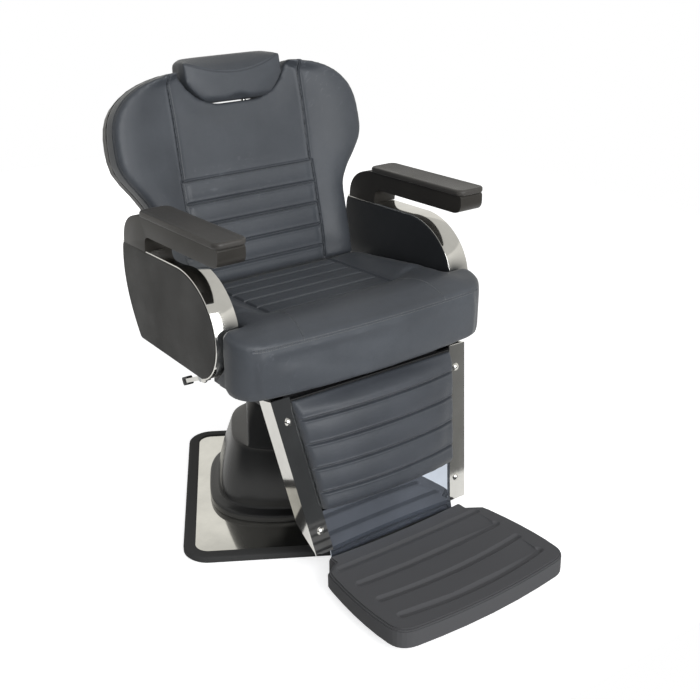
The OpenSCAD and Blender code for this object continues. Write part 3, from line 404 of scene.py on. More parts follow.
def normals(piece: Piece) -> np.ndarray:
    """Reads which way a piece's vertices face.

    Args:
        piece: a mesh piece.

    Returns:
        One row with a unit vector for each vertex.
    """
    co = np.empty(len(piece.data.vertices) * 3)
    piece.data.vertex_normals.foreach_get("vector", co)
    return co.reshape(-1, 3)


def move(piece: Piece, co: np.ndarray) -> None:
    """Puts a piece's vertices at new places in metres."""
    piece.data.vertices.foreach_set("co", co.ravel())
    piece.data.update()


# ------------------------------------------------------------------- finishes


class Sheet:
    """A node tree that is being filled in."""

    def __init__(self, tree: bpy.types.NodeTree) -> None:
        """Starts on a tree."""
        self.tree = tree

    def node(self, kind: str, inputs: dict | None = None, **settings: object) -> Node:
        """Adds a node.

        Args:
            kind: the node's type without its ShaderNode prefix.
            inputs: values or output sockets by input name or number.
            settings: the node's own properties.

        Returns:
            The new node.
        """
        made = self.tree.nodes.new(kind if kind.startswith("Node") else "ShaderNode" + kind)
        for key, value in settings.items():
            setattr(made, key, value)
        for key, value in (inputs or {}).items():
            if isinstance(value, Socket):
                self.tree.links.new(value, made.inputs[key])
            else:
                made.inputs[key].default_value = value
        return made

    def maths(self, operation: str, a: object, b: object = 0.0) -> Socket:
        """Returns the result of a maths node."""
        return self.node("Math", {0: a, 1: b}, operation=operation).outputs[0]

    def ramp(self, value: Socket, low: float, high: float) -> Socket:
        """Returns the value mapped so that low gives 0 and high gives 1, whichever is more."""
        return self.node("MapRange", {0: value, 1: low, 2: high, 3: 0.0, 4: 1.0}).outputs[0]

    def blend(self, share: object, a: object, b: object) -> Socket:
        """Mixes two colours.

        Args:
            share: how much of the second colour, from 0 to 1, as a value or a socket.
            a: first colour, or a socket.
            b: second colour, or a socket.

        Returns:
            The mixed colour.
        """
        made = self.node("Mix", data_type="RGBA")
        for key, value in ((0, share), (6, a), (7, b)):
            if isinstance(value, Socket):
                self.tree.links.new(value, made.inputs[key])
            elif key == 0:
                made.inputs[key].default_value = value
            else:
                made.inputs[key].default_value = (*value, 1.0)
        return made.outputs[2]


def pebbles(sheet: Sheet, given: bpy.types.bpy_prop_collection) -> Socket:
    """Works out the height of a pressed leather grain.

    Args:
        sheet: the effect's node tree.
        given: its Vector, its Scale in cells and its Wrinkle, a share of fine folds.

    Returns:
        The height, low in the pores.
    """
    wobble = sheet.node("TexNoise", {"Vector": given["Vector"], "Scale": 120.0, "Detail": 2.0})
    bent = sheet.node("VectorMath", {0: wobble.outputs["Color"], "Scale": 0.0022}, operation="SCALE")
    place = sheet.node("VectorMath", {0: given["Vector"], 1: bent.outputs[0]}, operation="ADD")
    inputs = {"Vector": place.outputs[0], "Scale": given["Scale"]}
    cells = sheet.node("TexVoronoi", inputs, feature="DISTANCE_TO_EDGE")
    pebble = sheet.ramp(cells.outputs["Distance"], 0.0, 0.28)
    inputs = {"Vector": given["Vector"], "Scale": 55.0, "Detail": 5.0, "Distortion": 1.4}
    fold = sheet.node("TexNoise", inputs).outputs["Fac"]
    return sheet.maths("ADD", pebble, sheet.maths("MULTIPLY", fold, given["Wrinkle"]))


def drifting(sheet: Sheet, given: bpy.types.bpy_prop_collection) -> Socket:
    """Works out slow drifts of shade over a piece.

    Args:
        sheet: the effect's node tree.
        given: its Vector and its Scale in patches.

    Returns:
        A mask from 0 to 1.
    """
    inputs = {"Vector": given["Vector"], "Scale": given["Scale"], "Detail": 4.0, "Roughness": 0.55}
    return sheet.ramp(sheet.node("TexNoise", inputs).outputs["Fac"], 0.3, 0.7)


def rubbing(sheet: Sheet, given: bpy.types.bpy_prop_collection) -> Socket:
    """Works out thin rubbed marks that stand in a few spots.

    Args:
        sheet: the effect's node tree.
        given: its Vector, its Scale in marks and their Amount.

    Returns:
        A mask from 0 to the amount.
    """
    inputs = {"Vector": given["Vector"], "Rotation": (0.4, 0.7, 0.9), "Scale": (1, 7, 1)}
    stretch = sheet.node("Mapping", inputs).outputs[0]
    inputs = {"Vector": stretch, "Scale": given["Scale"], "Detail": 6.0, "Distortion": 0.6}
    lines = sheet.node("TexNoise", inputs).outputs["Fac"]
    inputs = {"Vector": given["Vector"], "Scale": 7.0, "Detail": 2.0}
    spots = sheet.node("TexNoise", inputs).outputs["Fac"]
    marks = sheet.maths("MULTIPLY", sheet.ramp(lines, 0.60, 0.68), sheet.ramp(spots, 0.56, 0.72))
    return sheet.maths("MULTIPLY", marks, given["Amount"])


class Effect(Enum):
    """Effects that several finishes share, each with the names of its own inputs."""

    PEBBLE = ("pebble_grain", ("Scale", "Wrinkle"))
    DRIFT = ("colour_drift", ("Scale",))
    RUBBED = ("rubbed_marks", ("Scale", "Amount"))

    def group(self) -> bpy.types.NodeTree:
        """Returns the effect's node group, built the first time it is asked for."""
        name, inputs = self.value
        if name in bpy.data.node_groups:
            return bpy.data.node_groups[name]
        tree = bpy.data.node_groups.new(name, "ShaderNodeTree")
        tree.interface.new_socket("Vector", in_out="INPUT", socket_type="NodeSocketVector")
        for key in inputs:
            tree.interface.new_socket(key, in_out="INPUT", socket_type="NodeSocketFloat")
        tree.interface.new_socket("Value", in_out="OUTPUT", socket_type="NodeSocketFloat")
        sheet = Sheet(tree)
        work = {Effect.PEBBLE: pebbles, Effect.DRIFT: drifting, Effect.RUBBED: rubbing}[self]
        sheet.node("NodeGroupOutput", {"Value": work(sheet, sheet.node("NodeGroupInput").outputs)})
        return tree


@dataclass(frozen=True)
class Finish:
    """A surface finish: what every material of the chair has in common."""

    name: str
    colour: Colour
    roughness: float = 0.5
    drift: float = 0.12
    drift_scale: float = 9.0
    spread: float = 0.08

    def material(self) -> bpy.types.Material:
        """Returns the finish's material, built the first time it is asked for."""
        made = bpy.data.materials.get(self.name)
        if made:
            return made
        made = bpy.data.materials.new(self.name)
        made.use_nodes = True
        made.node_tree.nodes.clear()
        sheet = Sheet(made.node_tree)
        place = sheet.node("TexCoord").outputs["Object"]
        shader = sheet.node("BsdfPrincipled")
        sheet.node("OutputMaterial", {"Surface": shader.outputs[0]})
        self.dress(sheet, shader, place)
        return made

    @staticmethod
    def effect(sheet: Sheet, effect: Effect, place: Socket, **values: float) -> Socket:
        """Places a shared effect in this material.

        Args:
            sheet: the material's node tree.
            effect: which effect.
            place: place on the piece.
            values: the effect's own inputs by name.

        Returns:
            The effect's mask or height.
        """
        made = sheet.node("Group", node_tree=effect.group())
        sheet.tree.links.new(place, made.inputs["Vector"])
        for key, value in values.items():
            made.inputs[key].default_value = value
        return made.outputs[0]

    def scaled(self, gain: float, lift: float = 0.0) -> Colour:
        """Returns the finish's colour made darker or paler."""
        return tuple(min(1.0, c * gain + lift) for c in self.colour)

    def drifted(self, sheet: Sheet, shader: Node, place: Socket) -> Socket:
        """Lets the roughness drift a little over the surface, and the colour with it.

        Args:
            sheet: the material's node tree.
            shader: its Principled shader.
            place: place on the piece.

        Returns:
            The drifting colour.
        """
        drift = self.effect(sheet, Effect.DRIFT, place, Scale=self.drift_scale)
        ends = {0: drift, 3: self.roughness - self.spread, 4: self.roughness + self.spread}
        sheet.tree.links.new(sheet.node("MapRange", ends).outputs[0], shader.inputs["Roughness"])
        return sheet.blend(drift, self.scaled(1 - self.drift), self.scaled(1 + self.drift))

    def dress(self, sheet: Sheet, shader: Node, place: Socket) -> None:
        """Fills in what the finish looks like.

        Args:
            sheet: the material's node tree.
            shader: its Principled shader.
            place: place on the piece.
        """
        sheet.tree.links.new(self.drifted(sheet, shader, place), shader.inputs["Base Color"])

    @staticmethod
    def relief(sheet: Sheet, shader: Node, height: Socket, depth: float) -> None:
        """Gives the surface a relief of a depth in millimetres."""
        bump = sheet.node("Bump", {"Height": height, "Distance": depth * MM, "Strength": 1.0})
        sheet.tree.links.new(bump.outputs[0], shader.inputs["Normal"])


@dataclass(frozen=True)
class Leatherette(Finish):
    """Coated upholstery cloth with a pressed leather grain."""

    grain: float = 620.0
    depth: float = 0.10
    wrinkle: float = 0.9
    marks: float = 0.25

    def dress(self, sheet: Sheet, shader: Node, place: Socket) -> None:
        """Adds the pressed grain, its darker pores and a few pale rubbed marks.

        Args:
            sheet: the material's node tree.
            shader: its Principled shader.
            place: place on the piece.
        """
        shader.inputs["Specular IOR Level"].default_value = 0.36
        shader.inputs["Sheen Weight"].default_value = 0.05
        shader.inputs["Sheen Roughness"].default_value = 0.4
        grain = self.effect(sheet, Effect.PEBBLE, place, Scale=self.grain, Wrinkle=self.wrinkle)
        marks = self.effect(sheet, Effect.RUBBED, place, Scale=60.0, Amount=self.marks)
        pores = sheet.ramp(grain, 0.25, 0.7)
        deep = sheet.blend(pores, self.scaled(0.82), self.drifted(sheet, shader, place))
        worn = sheet.blend(marks, deep, self.scaled(2.4, 0.02))
        sheet.tree.links.new(worn, shader.inputs["Base Color"])
        self.relief(sheet, shader, grain, self.depth)


@dataclass(frozen=True)
class Moulded(Finish):
    """Moulded plastic or rubber with a fine spark-eroded texture."""

    grain: float = 1400.0
    depth: float = 0.03
    coat: float = 0.0
    marks: float = 0.15

    def dress(self, sheet: Sheet, shader: Node, place: Socket) -> None:
        """Adds the fine texture, rubbed marks and any gloss coat.

        Args:
            sheet: the material's node tree.
            shader: its Principled shader.
            place: place on the piece.
        """
        shader.inputs["Specular IOR Level"].default_value = 0.4
        shader.inputs["Coat Weight"].default_value = self.coat
        shader.inputs["Coat Roughness"].default_value = 0.03
        marks = self.effect(sheet, Effect.RUBBED, place, Scale=45.0, Amount=self.marks)
        worn = sheet.blend(marks, self.drifted(sheet, shader, place), self.scaled(2.0, 0.03))
        sheet.tree.links.new(worn, shader.inputs["Base Color"])
        fine = sheet.node("TexNoise", {"Vector": place, "Scale": self.grain, "Detail": 3.0})
        self.relief(sheet, shader, fine.outputs["Fac"], self.depth)


@dataclass(frozen=True)
class Metal(Finish):
    """Bare, plated or polished metal with fine wiping scratches.

    The plating is how metallic it looks. The lean turns its reflections down by that slope,
    as a slightly bowed sheet does.
    """

    scratch: float = 0.006
    marks: float = 0.3
    plating: float = 1.0
    lean: float = 0.0

    def dress(self, sheet: Sheet, shader: Node, place: Socket) -> None:
        """Adds scratches that run along the piece and dull finger marks.

        Args:
            sheet: the material's node tree.
            shader: its Principled shader.
            place: place on the piece.
        """
        super().dress(sheet, shader, place)
        shader.inputs["Metallic"].default_value = self.plating
        drift = self.effect(sheet, Effect.DRIFT, place, Scale=self.drift_scale * 3)
        marks = self.effect(sheet, Effect.RUBBED, place, Scale=90.0, Amount=self.marks)
        dull = sheet.node("MapRange", {0: drift, 3: self.roughness * 0.7, 4: self.roughness * 1.3})
        rough = sheet.maths("ADD", dull.outputs[0], sheet.maths("MULTIPLY", marks, 0.25))
        sheet.tree.links.new(rough, shader.inputs["Roughness"])
        along = sheet.node("Mapping", {"Vector": place, "Scale": (60.0, 900.0, 60.0)})
        lines = sheet.node("TexNoise", {"Vector": along.outputs[0], "Scale": 1.0, "Detail": 2.0})
        height = lines.outputs["Fac"]
        if self.lean:
            up = sheet.node("SeparateXYZ", {0: place}).outputs["Z"]
            slope = sheet.maths("MULTIPLY", up, self.lean / (self.scratch * MM))
            height = sheet.maths("ADD", height, slope)
        self.relief(sheet, shader, height, self.scratch)


@dataclass(frozen=True)
class Plywood(Finish):
    """Raw plywood with its growth lines along X."""

    def dress(self, sheet: Sheet, shader: Node, place: Socket) -> None:
        """Adds the growth lines in the colour and the relief.

        Args:
            sheet: the material's node tree.
            shader: its Principled shader.
            place: place on the piece.
        """
        long = sheet.node("Mapping", {"Vector": place, "Scale": (3.0, 60.0, 60.0)})
        inputs = {"Vector": long.outputs[0], "Scale": 2.0, "Detail": 6.0, "Distortion": 0.8}
        rings = sheet.node("TexNoise", inputs)
        lines = sheet.ramp(rings.outputs["Fac"], 0.35, 0.65)
        shade = sheet.blend(lines, self.scaled(0.62), self.colour)
        sheet.tree.links.new(shade, shader.inputs["Base Color"])
        shader.inputs["Roughness"].default_value = self.roughness
        self.relief(sheet, shader, rings.outputs["Fac"], 0.12)


SEAT_HIDE = Leatherette("charcoal_hide", (0.072, 0.079, 0.090), 0.40)
PANEL_HIDE = Leatherette(
    "side_panel_hide", (0.018, 0.017, 0.016), 0.48, grain=800.0, depth=0.06, marks=0.12
)
INNER_HIDE = Leatherette(
    "inner_panel_hide", (0.026, 0.028, 0.031), 0.44, grain=800.0, depth=0.06, marks=0.08
)
# The seat's leatherette made about a sixth darker: painted shade for the calf pad, which lies under the
# seat's overhang.
CALF_HIDE_PAINTED_SHADE = Leatherette("calf_hide_painted_shade", (0.060, 0.066, 0.077), 0.42)
SHELL_HIDE = Leatherette("back_shell_hide", (0.046, 0.046, 0.047), 0.46)
PAD_HIDE = Leatherette("armrest_pad_skin", (0.062, 0.058, 0.053), 0.42, grain=900.0, depth=0.05, marks=0.2)
ARM_PLASTIC = Moulded("armrest_plastic", (0.034, 0.031, 0.027), 0.36)
GRIP_PLASTIC = Moulded("lever_plastic", (0.022, 0.022, 0.023), 0.4)
COVER_GLOSS = Moulded(
    "cover_gloss", (0.011, 0.011, 0.011), 0.09, spread=0.02, depth=0.002, coat=1.0, marks=0.08
)
RIM_RUBBER = Moulded("rim_rubber", (0.060, 0.060, 0.060), 0.46, grain=700.0, depth=0.05)
TREAD_RUBBER = Moulded("tread_rubber", (0.032, 0.034, 0.038), 0.32, grain=900.0, depth=0.04)
CHROME = Metal("polished_chrome", (0.80, 0.79, 0.76), 0.07, scratch=0.004, marks=0.2)
BASE_STEEL = Metal("polished_base_steel", (0.78, 0.77, 0.73), 0.075, marks=0.5)
MIRROR_STEEL = Metal(
    "mirror_steel", (0.70, 0.76, 0.87), 0.03, scratch=0.002, marks=0.15, plating=0.95, lean=0.13
)
ZINC = Metal("bright_zinc", (0.52, 0.53, 0.54), 0.28)
GROUND_STEEL = Metal("ground_steel", (0.60, 0.61, 0.62), 0.16)
FRAME_PAINT = Moulded("frame_paint", (0.030, 0.031, 0.033), 0.34, grain=400.0, depth=0.04)
CAST_IRON = Moulded("painted_cast_iron", (0.055, 0.057, 0.060), 0.5, grain=260.0, depth=0.12)
BOARD = Plywood("plywood", (0.34, 0.23, 0.13), 0.7)
THREAD = Finish("sewing_thread", (0.15, 0.155, 0.16), 0.6)
DARK_BOARD = Plywood("stained_plywood", (0.022, 0.022, 0.023), 0.6)

FINISHED: dict[Finish, tuple[str, ...]] = {
    RIM_RUBBER: ("base_rim", "cover_collar", "pedal_pad", "ram_seal"),
    BASE_STEEL: ("base_plate",),
    COVER_GLOSS: ("column_cover",),
    CAST_IRON: ("pump_cylinder", "pump_gland", "pump_block", "swivel_hub"),
    ZINC: ("pump_bolts", "spindle_nut", "hub_bolts", "headrest_guides", "link_rods"),
    GROUND_STEEL: (
        "pedal_pin", "ram", "thrust_bearing", "hinge_pins", "lever_pin", "gas_rod", "back_pins",
        "leg_pins",
    ),
    CHROME: (
        "pedal_lever", "arm_band_left", "arm_band_right", "arm_nuts", "recline_lever", "headrest_bars",
        "leg_bracket_left", "leg_bracket_right", "leg_bolts",
    ),
    FRAME_PAINT: (
        "seat_frame", "arm_brackets", "gas_cylinder", "back_frame", "leg_crossbar", "footrest_hinge",
        "footrest_core",
    ),
    DARK_BOARD: ("seat_board", "calf_board"),
    SEAT_HIDE: ("seat_cushion", "back_cushion", "headrest_pillow", "calf_pad"),
    ARM_PLASTIC: ("arm_core_left", "arm_core_right", "armrest_left", "armrest_right"),
    INNER_HIDE: ("inner_panel_left", "inner_panel_right"),
    PANEL_HIDE: ("outer_panel_left", "outer_panel_right"),
    PAD_HIDE: ("arm_pad_left", "arm_pad_right"),
    GRIP_PLASTIC: ("lever_grip",),
    BOARD: ("back_board",),
    SHELL_HIDE: ("back_shell",),
    MIRROR_STEEL: ("mirror_plate",),
    TREAD_RUBBER: ("footrest_tread",),
}


def coat(piece: Piece, finish: Finish) -> None:
    """Puts one finish on a whole piece.

    Args:
        piece: a CAD node or a new piece.
        finish: its finish.
    """
    made = finish.material()
    if piece.material_slots:
        for place in piece.material_slots:
            place.material = made
    else:
        piece.data.materials.append(made)


# ------------------------------------------------------------------- cushions


SEAM_START, SEAM_REACH = 0.12, 0.3
PIPE_SIDES = 8
DOWN = (0.0, 0.0, -1.0)
INWARD = (0.0, 1.0, 0.0)
NEAREST = (0.0, 0.0, 0.0)
ROUND_DROPS = (9, 4, 1.5)


@dataclass(frozen=True)
class Seam:
    """A sewn line: where it runs, how deep it pulls the cover in and how it is stitched.

    The path is pressed on to the cushion along towards, or to the nearest place on it
    with NEAREST. Stitches holds how far each row lies beside the line. A welt is a thin
    piping of that radius on the line.
    """

    path: Sequence[tuple[float, float, float]]
    towards: tuple[float, float, float]
    depth: float = 5.0
    width: float = 3.2
    stitches: tuple[float, ...] = ()
    welt: float = 0.0


@dataclass
class Cushion:
    """A foam cushion in a sewn cover.

    The plain form is drawn in by shrink, then swells under pressure for some frames, with no
    point further out than swell. Pitch is the distance of its channels, and the cover is
    made finer up to near millimetres from a seam.
    """

    name: str
    node: str
    body: str
    axes: Axes
    fill: float
    voxel: float = 6.0
    swell: float = 5.0
    shrink: float = 1.5
    pressure: float = 4.0
    frames: int = 20
    pitch: float = 51.0
    near: float = 8.0
    seam_step: float = 1.5
    stitch_pitch: float = 4.6
    finish: Finish = SEAT_HIDE
    straight_sides: bool = False

    def rings(self) -> np.ndarray:
        """Returns the rings of the plain form, in its own axes and millimetres."""
        raise NotImplementedError

    def held(self, p: np.ndarray) -> np.ndarray:
        """Returns true for the points that lie on the board and don't move."""
        raise NotImplementedError

    def seams(self) -> list[Seam]:
        """Returns the sewn lines."""
        raise NotImplementedError

    def puff(self, p: np.ndarray) -> np.ndarray:
        """Returns how far each point stands out between the channels, in millimetres."""
        return np.zeros(len(p))

    def trim(self, piece: Piece) -> None:
        """Cuts openings into the plain form."""

    def limit(self, p: np.ndarray) -> np.ndarray:
        """Returns points kept clear of the neighbours, in its own axes."""
        return p

    def build(self) -> Piece:
        """Makes the cushion: plain form, swollen foam, then seams and stitches.

        Returns:
            The finished cushion, riding on its body.
        """
        piece = Bench.from_rings(self.name, self.axes.world(self.rings()))
        self.trim(piece)
        Bench.modify(piece, "REMESH", mode="VOXEL", voxel_size=self.voxel * MM, use_smooth_shade=True)
        self.inflate(piece)
        Bench.modify(piece, "SUBSURF", levels=1, render_levels=1)
        sewn = [(seam, self.lay(piece, seam)) for seam in self.seams()]
        self.refine(piece, sewn)
        self.sew(piece, sewn)
        coat(piece, self.finish)
        for face in piece.data.polygons:
            face.use_smooth = True
        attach(piece, self.body)
        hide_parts(self.node)
        self.stitch(piece, sewn)
        self.pipe(piece, sewn)
        log.info("%s: %d faces, %d seams", self.name, len(piece.data.polygons), len(sewn))
        return piece

    def inflate(self, piece: Piece) -> None:
        """Swells the form with cloth under pressure and caps how far a point moves.

        Args:
            piece: the plain form.
        """
        start = coords(piece)
        held = self.held(self.axes.own(start))
        lean = normals(piece) * (self.shrink * MM)
        lean[held] = 0
        move(piece, start - lean)
        before = coords(piece)
        group = piece.vertex_groups.new(name="held")
        group.add([int(i) for i in np.nonzero(held)[0]], 1.0, "REPLACE")
        cloth = piece.modifiers.new("Swell", "CLOTH")
        cloth.settings.use_pressure = True
        cloth.settings.uniform_pressure_force = self.pressure
        cloth.settings.effector_weights.gravity = 0.0
        cloth.settings.vertex_group_mass = "held"
        cloth.settings.quality = 5
        cloth.point_cache.frame_start, cloth.point_cache.frame_end = 1, self.frames
        for frame in range(1, self.frames + 1):
            bpy.context.scene.frame_set(frame)
        shaped = piece.evaluated_get(bpy.context.evaluated_depsgraph_get())
        after = coords(shaped)
        piece.modifiers.remove(cloth)
        bpy.context.scene.frame_set(1)
        outward = normals(piece)
        rise = np.clip(((after - before) * outward).sum(axis=1), 0.0, self.swell * MM)
        swollen = before + outward * self.even(piece, rise)[:, None]
        piece.vertex_groups.clear()
        move(piece, self.axes.world(self.limit(self.axes.own(swollen))))
        with Bench.edit(piece):
            bpy.ops.mesh.select_all(action="SELECT")
            bpy.ops.mesh.vertices_smooth(factor=0.5, repeat=2)

    @staticmethod
    def even(piece: Piece, rise: np.ndarray, rounds: int = 24) -> np.ndarray:
        """Evens out a value over a mesh, so that no sharp folds stay.

        Args:
            piece: the mesh.
            rise: a value for each of its corners.
            rounds: how often each corner takes half of its neighbours' mean.

        Returns:
            The evened values.
        """
        count = len(piece.data.vertices)
        ends = np.empty(len(piece.data.edges) * 2, int)
        piece.data.edges.foreach_get("vertices", ends)
        a, b = ends.reshape(-1, 2).T
        degree = np.maximum(np.bincount(ends, minlength=count), 1)
        for _ in range(rounds):
            total = np.bincount(a, weights=rise[b], minlength=count)
            total = total + np.bincount(b, weights=rise[a], minlength=count)
            rise = (rise + total / degree) / 2
        return rise

    def lay(self, piece: Piece, seam: Seam) -> list[tuple[Vector, Vector]]:
        """Lays a seam on the cushion's surface.

        Args:
            piece: the cushion.
            seam: the sewn line.

        Returns:
            Points on the surface, a millimetre or two apart, each with its normal.
        """
        tree = BVHTree.FromObject(piece, bpy.context.evaluated_depsgraph_get())
        path, dense = np.asarray(seam.path, float), []
        for a, b in zip(path[:-1], path[1:]):
            count = max(1, int(np.linalg.norm(b - a) / self.seam_step))
            dense += [a + (b - a) * k / count for k in range(count)]
        dense.append(path[-1])
        inward = self.axes.world(np.array([seam.towards, (0, 0, 0)], float))
        ray = Vector(inward[0] - inward[1]).normalized()
        laid = []
        for p in self.axes.world(np.array(dense)):
            if ray.length > 0:
                hit, normal, _, _ = tree.ray_cast(Vector(p) - ray * SEAM_START, ray, SEAM_REACH)
            else:
                hit, normal, _, _ = tree.find_nearest(Vector(p))
            if hit is not None:
                laid.append((hit, normal))
        return laid

    def refine(self, piece: Piece, sewn: list) -> None:
        """Splits the faces near the seams so that they can be sharp.

        Args:
            piece: the cushion.
            sewn: each seam with its points on the surface.
        """
        tree = self.seam_tree(sewn)
        with Bench.edit(piece) as mesh:
            bpy.ops.mesh.select_mode(type="FACE")
            Bench.pick_faces(mesh, piece, lambda f: tree.find(f.calc_center_median())[2] < self.near * MM)
            bpy.ops.mesh.subdivide(number_cuts=1, quadcorner="INNERVERT")

    @staticmethod
    def seam_tree(sewn: list) -> KDTree:
        """Gathers all seam points.

        Args:
            sewn: each seam with its points on the surface.

        Returns:
            A search tree over the points, numbered seam after seam.
        """
        points = [p for _, laid in sewn for p, _ in laid]
        tree = KDTree(len(points))
        for i, p in enumerate(points):
            tree.insert(p, i)
        tree.balance()
        return tree

    def sew(self, piece: Piece, sewn: list) -> None:
        """Pulls the cover in at the seams and fills it out between them.

        Args:
            piece: the cushion.
            sewn: each seam with its points on the surface.
        """
        co, nor = coords(piece), normals(piece)
        before = self.axes.own(co)
        out = self.puff(before)
        tree = self.seam_tree(sewn)
        owner = [seam for seam, laid in sewn for _ in laid]
        for i, p in enumerate(co):
            _, k, gap = tree.find(p)
            seam = owner[k]
            g = gap / MM / seam.width
            if g < 4:
                out[i] -= seam.depth * (math.exp(-g * g) - 0.25 * math.exp(-((g - 2.1) ** 2)))
        own = self.axes.own(co + nor * (out * MM)[:, None])
        if self.straight_sides:
            own[:, 0] = before[:, 0]
        move(piece, self.axes.world(self.limit(own)))

    def stitch(self, piece: Piece, sewn: list) -> None:
        """Lays rows of short thread stitches beside the seams.

        Args:
            piece: the cushion.
            sewn: each seam with its points on the surface.
        """
        tree = BVHTree.FromObject(piece, bpy.context.evaluated_depsgraph_get())
        verts, faces = [], []
        for seam, laid in sewn:
            for offset in seam.stitches:
                self.stitch_row(tree, laid, offset, verts, faces)
        if verts:
            self.trimming("stitches", verts, faces, THREAD)

    def pipe(self, piece: Piece, sewn: list) -> None:
        """Lays the pipings on their seams.

        Args:
            piece: the cushion.
            sewn: each seam with its points on the surface.
        """
        tree = BVHTree.FromObject(piece, bpy.context.evaluated_depsgraph_get())
        verts, faces = [], []
        for seam, laid in sewn:
            if seam.welt > 0 and len(laid) > 6:
                self.pipe_row(tree, laid[::2], seam.welt, verts, faces)
        if verts:
            piping = self.trimming("piping", verts, faces, self.finish)
            for face in piping.data.polygons:
                face.use_smooth = True

    def trimming(self, kind: str, verts: list, faces: list, finish: Finish) -> Piece:
        """Makes one piece of all the cushion's stitches or pipings.

        Args:
            kind: what it is, for its name.
            verts: corners in metres.
            faces: numbers of the corners of each face.
            finish: its finish.

        Returns:
            The piece, riding with the cushion.
        """
        piece = from_corners(f"{self.name}_{kind}", verts, faces)
        coat(piece, finish)
        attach(piece, self.body)
        return piece

    @staticmethod
    def pipe_row(tree: BVHTree, laid: list, radius: float, verts: list, faces: list) -> None:
        """Adds one piping.

        Args:
            tree: the finished cushion's surface.
            laid: the seam's points and normals.
            radius: radius of the piping in millimetres.
            verts: list that the new corners are added to.
            faces: list that the new faces are added to.
        """
        base, count = len(verts), PIPE_SIDES
        spots = [tree.find_nearest(p)[:2] for p, _ in laid]
        middle = np.array([tuple(p + n * (radius * 0.25 * MM)) for p, n in spots])
        for _ in range(4):
            middle[1:-1] = (middle[:-2] + 2 * middle[1:-1] + middle[2:]) / 4
        for k, (_, up) in enumerate(spots):
            along = Vector(middle[min(k + 1, len(spots) - 1)] - middle[max(k - 1, 0)]).normalized()
            side = up.cross(along).normalized()
            up = along.cross(side)
            thin = radius * (0.3 if k in (0, len(spots) - 1) else 1.0)
            for j in range(count):
                a = 2 * math.pi * j / count
                verts.append(tuple(Vector(middle[k]) + (side * math.cos(a) + up * math.sin(a)) * thin * MM))
        for k in range(len(spots) - 1):
            for j in range(count):
                i, m = base + k * count + j, base + k * count + (j + 1) % count
                faces.append((i, m, m + count, i + count))
        faces.append(tuple(range(base + count - 1, base - 1, -1)))
        faces.append(tuple(range(len(verts) - count, len(verts))))

    def stitch_row(self, tree: BVHTree, laid: list, offset: float, verts: list, faces: list) -> None:
        """Adds one row of stitches.

        Args:
            tree: the finished cushion's surface.
            laid: the seam's points and normals.
            offset: distance of the row beside the seam, in millimetres.
            verts: list that the new corners are added to.
            faces: list that the new faces are added to.
        """
        travelled, due = 0.0, 2.0
        rings = ((-1.55, -0.1, 0.2), (-0.9, 0.55, 0.7), (0.9, 0.55, 0.7), (1.55, -0.1, 0.2))
        for (a, na), (b, _) in zip(laid[:-1], laid[1:]):
            run = b - a
            if run.length < 1e-6 or run.length > 0.01:
                continue
            travelled += run.length / MM
            if travelled < due:
                continue
            due += self.stitch_pitch
            along = run.normalized()
            side = na.cross(along).normalized()
            spot, up, _, _ = tree.find_nearest(b + side * offset * MM)
            if spot is None:
                continue
            along = (along - up * along.dot(up)).normalized()
            side = up.cross(along)
            base = len(verts)
            for k, lift, half in rings:
                centre = spot + (along * k + up * lift) * MM
                for w, d in ((-1, -0.35), (0, 0.25), (1, -0.35)):
                    verts.append(tuple(centre + (side * w * half + up * d * half) * MM))
            for r in range(3):
                for c in range(3):
                    i, j = base + r * 3 + c, base + r * 3 + (c + 1) % 3
                    faces.append((i, j, j + 3, i + 3))
            faces += [(base + 2, base + 1, base), (base + 9, base + 10, base + 11)]


def across(p: float, w: float) -> np.ndarray:
    """Returns places across a cushion of half width w, closer together near its edges."""
    half = np.concatenate([np.linspace(0, p, 9)[1:], np.linspace(p, w - 16, 7)[1:], [w - 10, w - 5, w - 2]])
    return np.concatenate([-half[::-1], [0], half])


def rounded(row: list[float], sign: int) -> list[float]:
    """Rounds both ends of a row of heights or depths by ROUND_DROPS.

    Args:
        row: heights or depths across a cushion.
        sign: which way the ends go, -1 or 1.

    Returns:
        The rounded row.
    """
    for k, drop in enumerate(ROUND_DROPS):
        row[k] += sign * drop
        row[-1 - k] += sign * drop
    return row


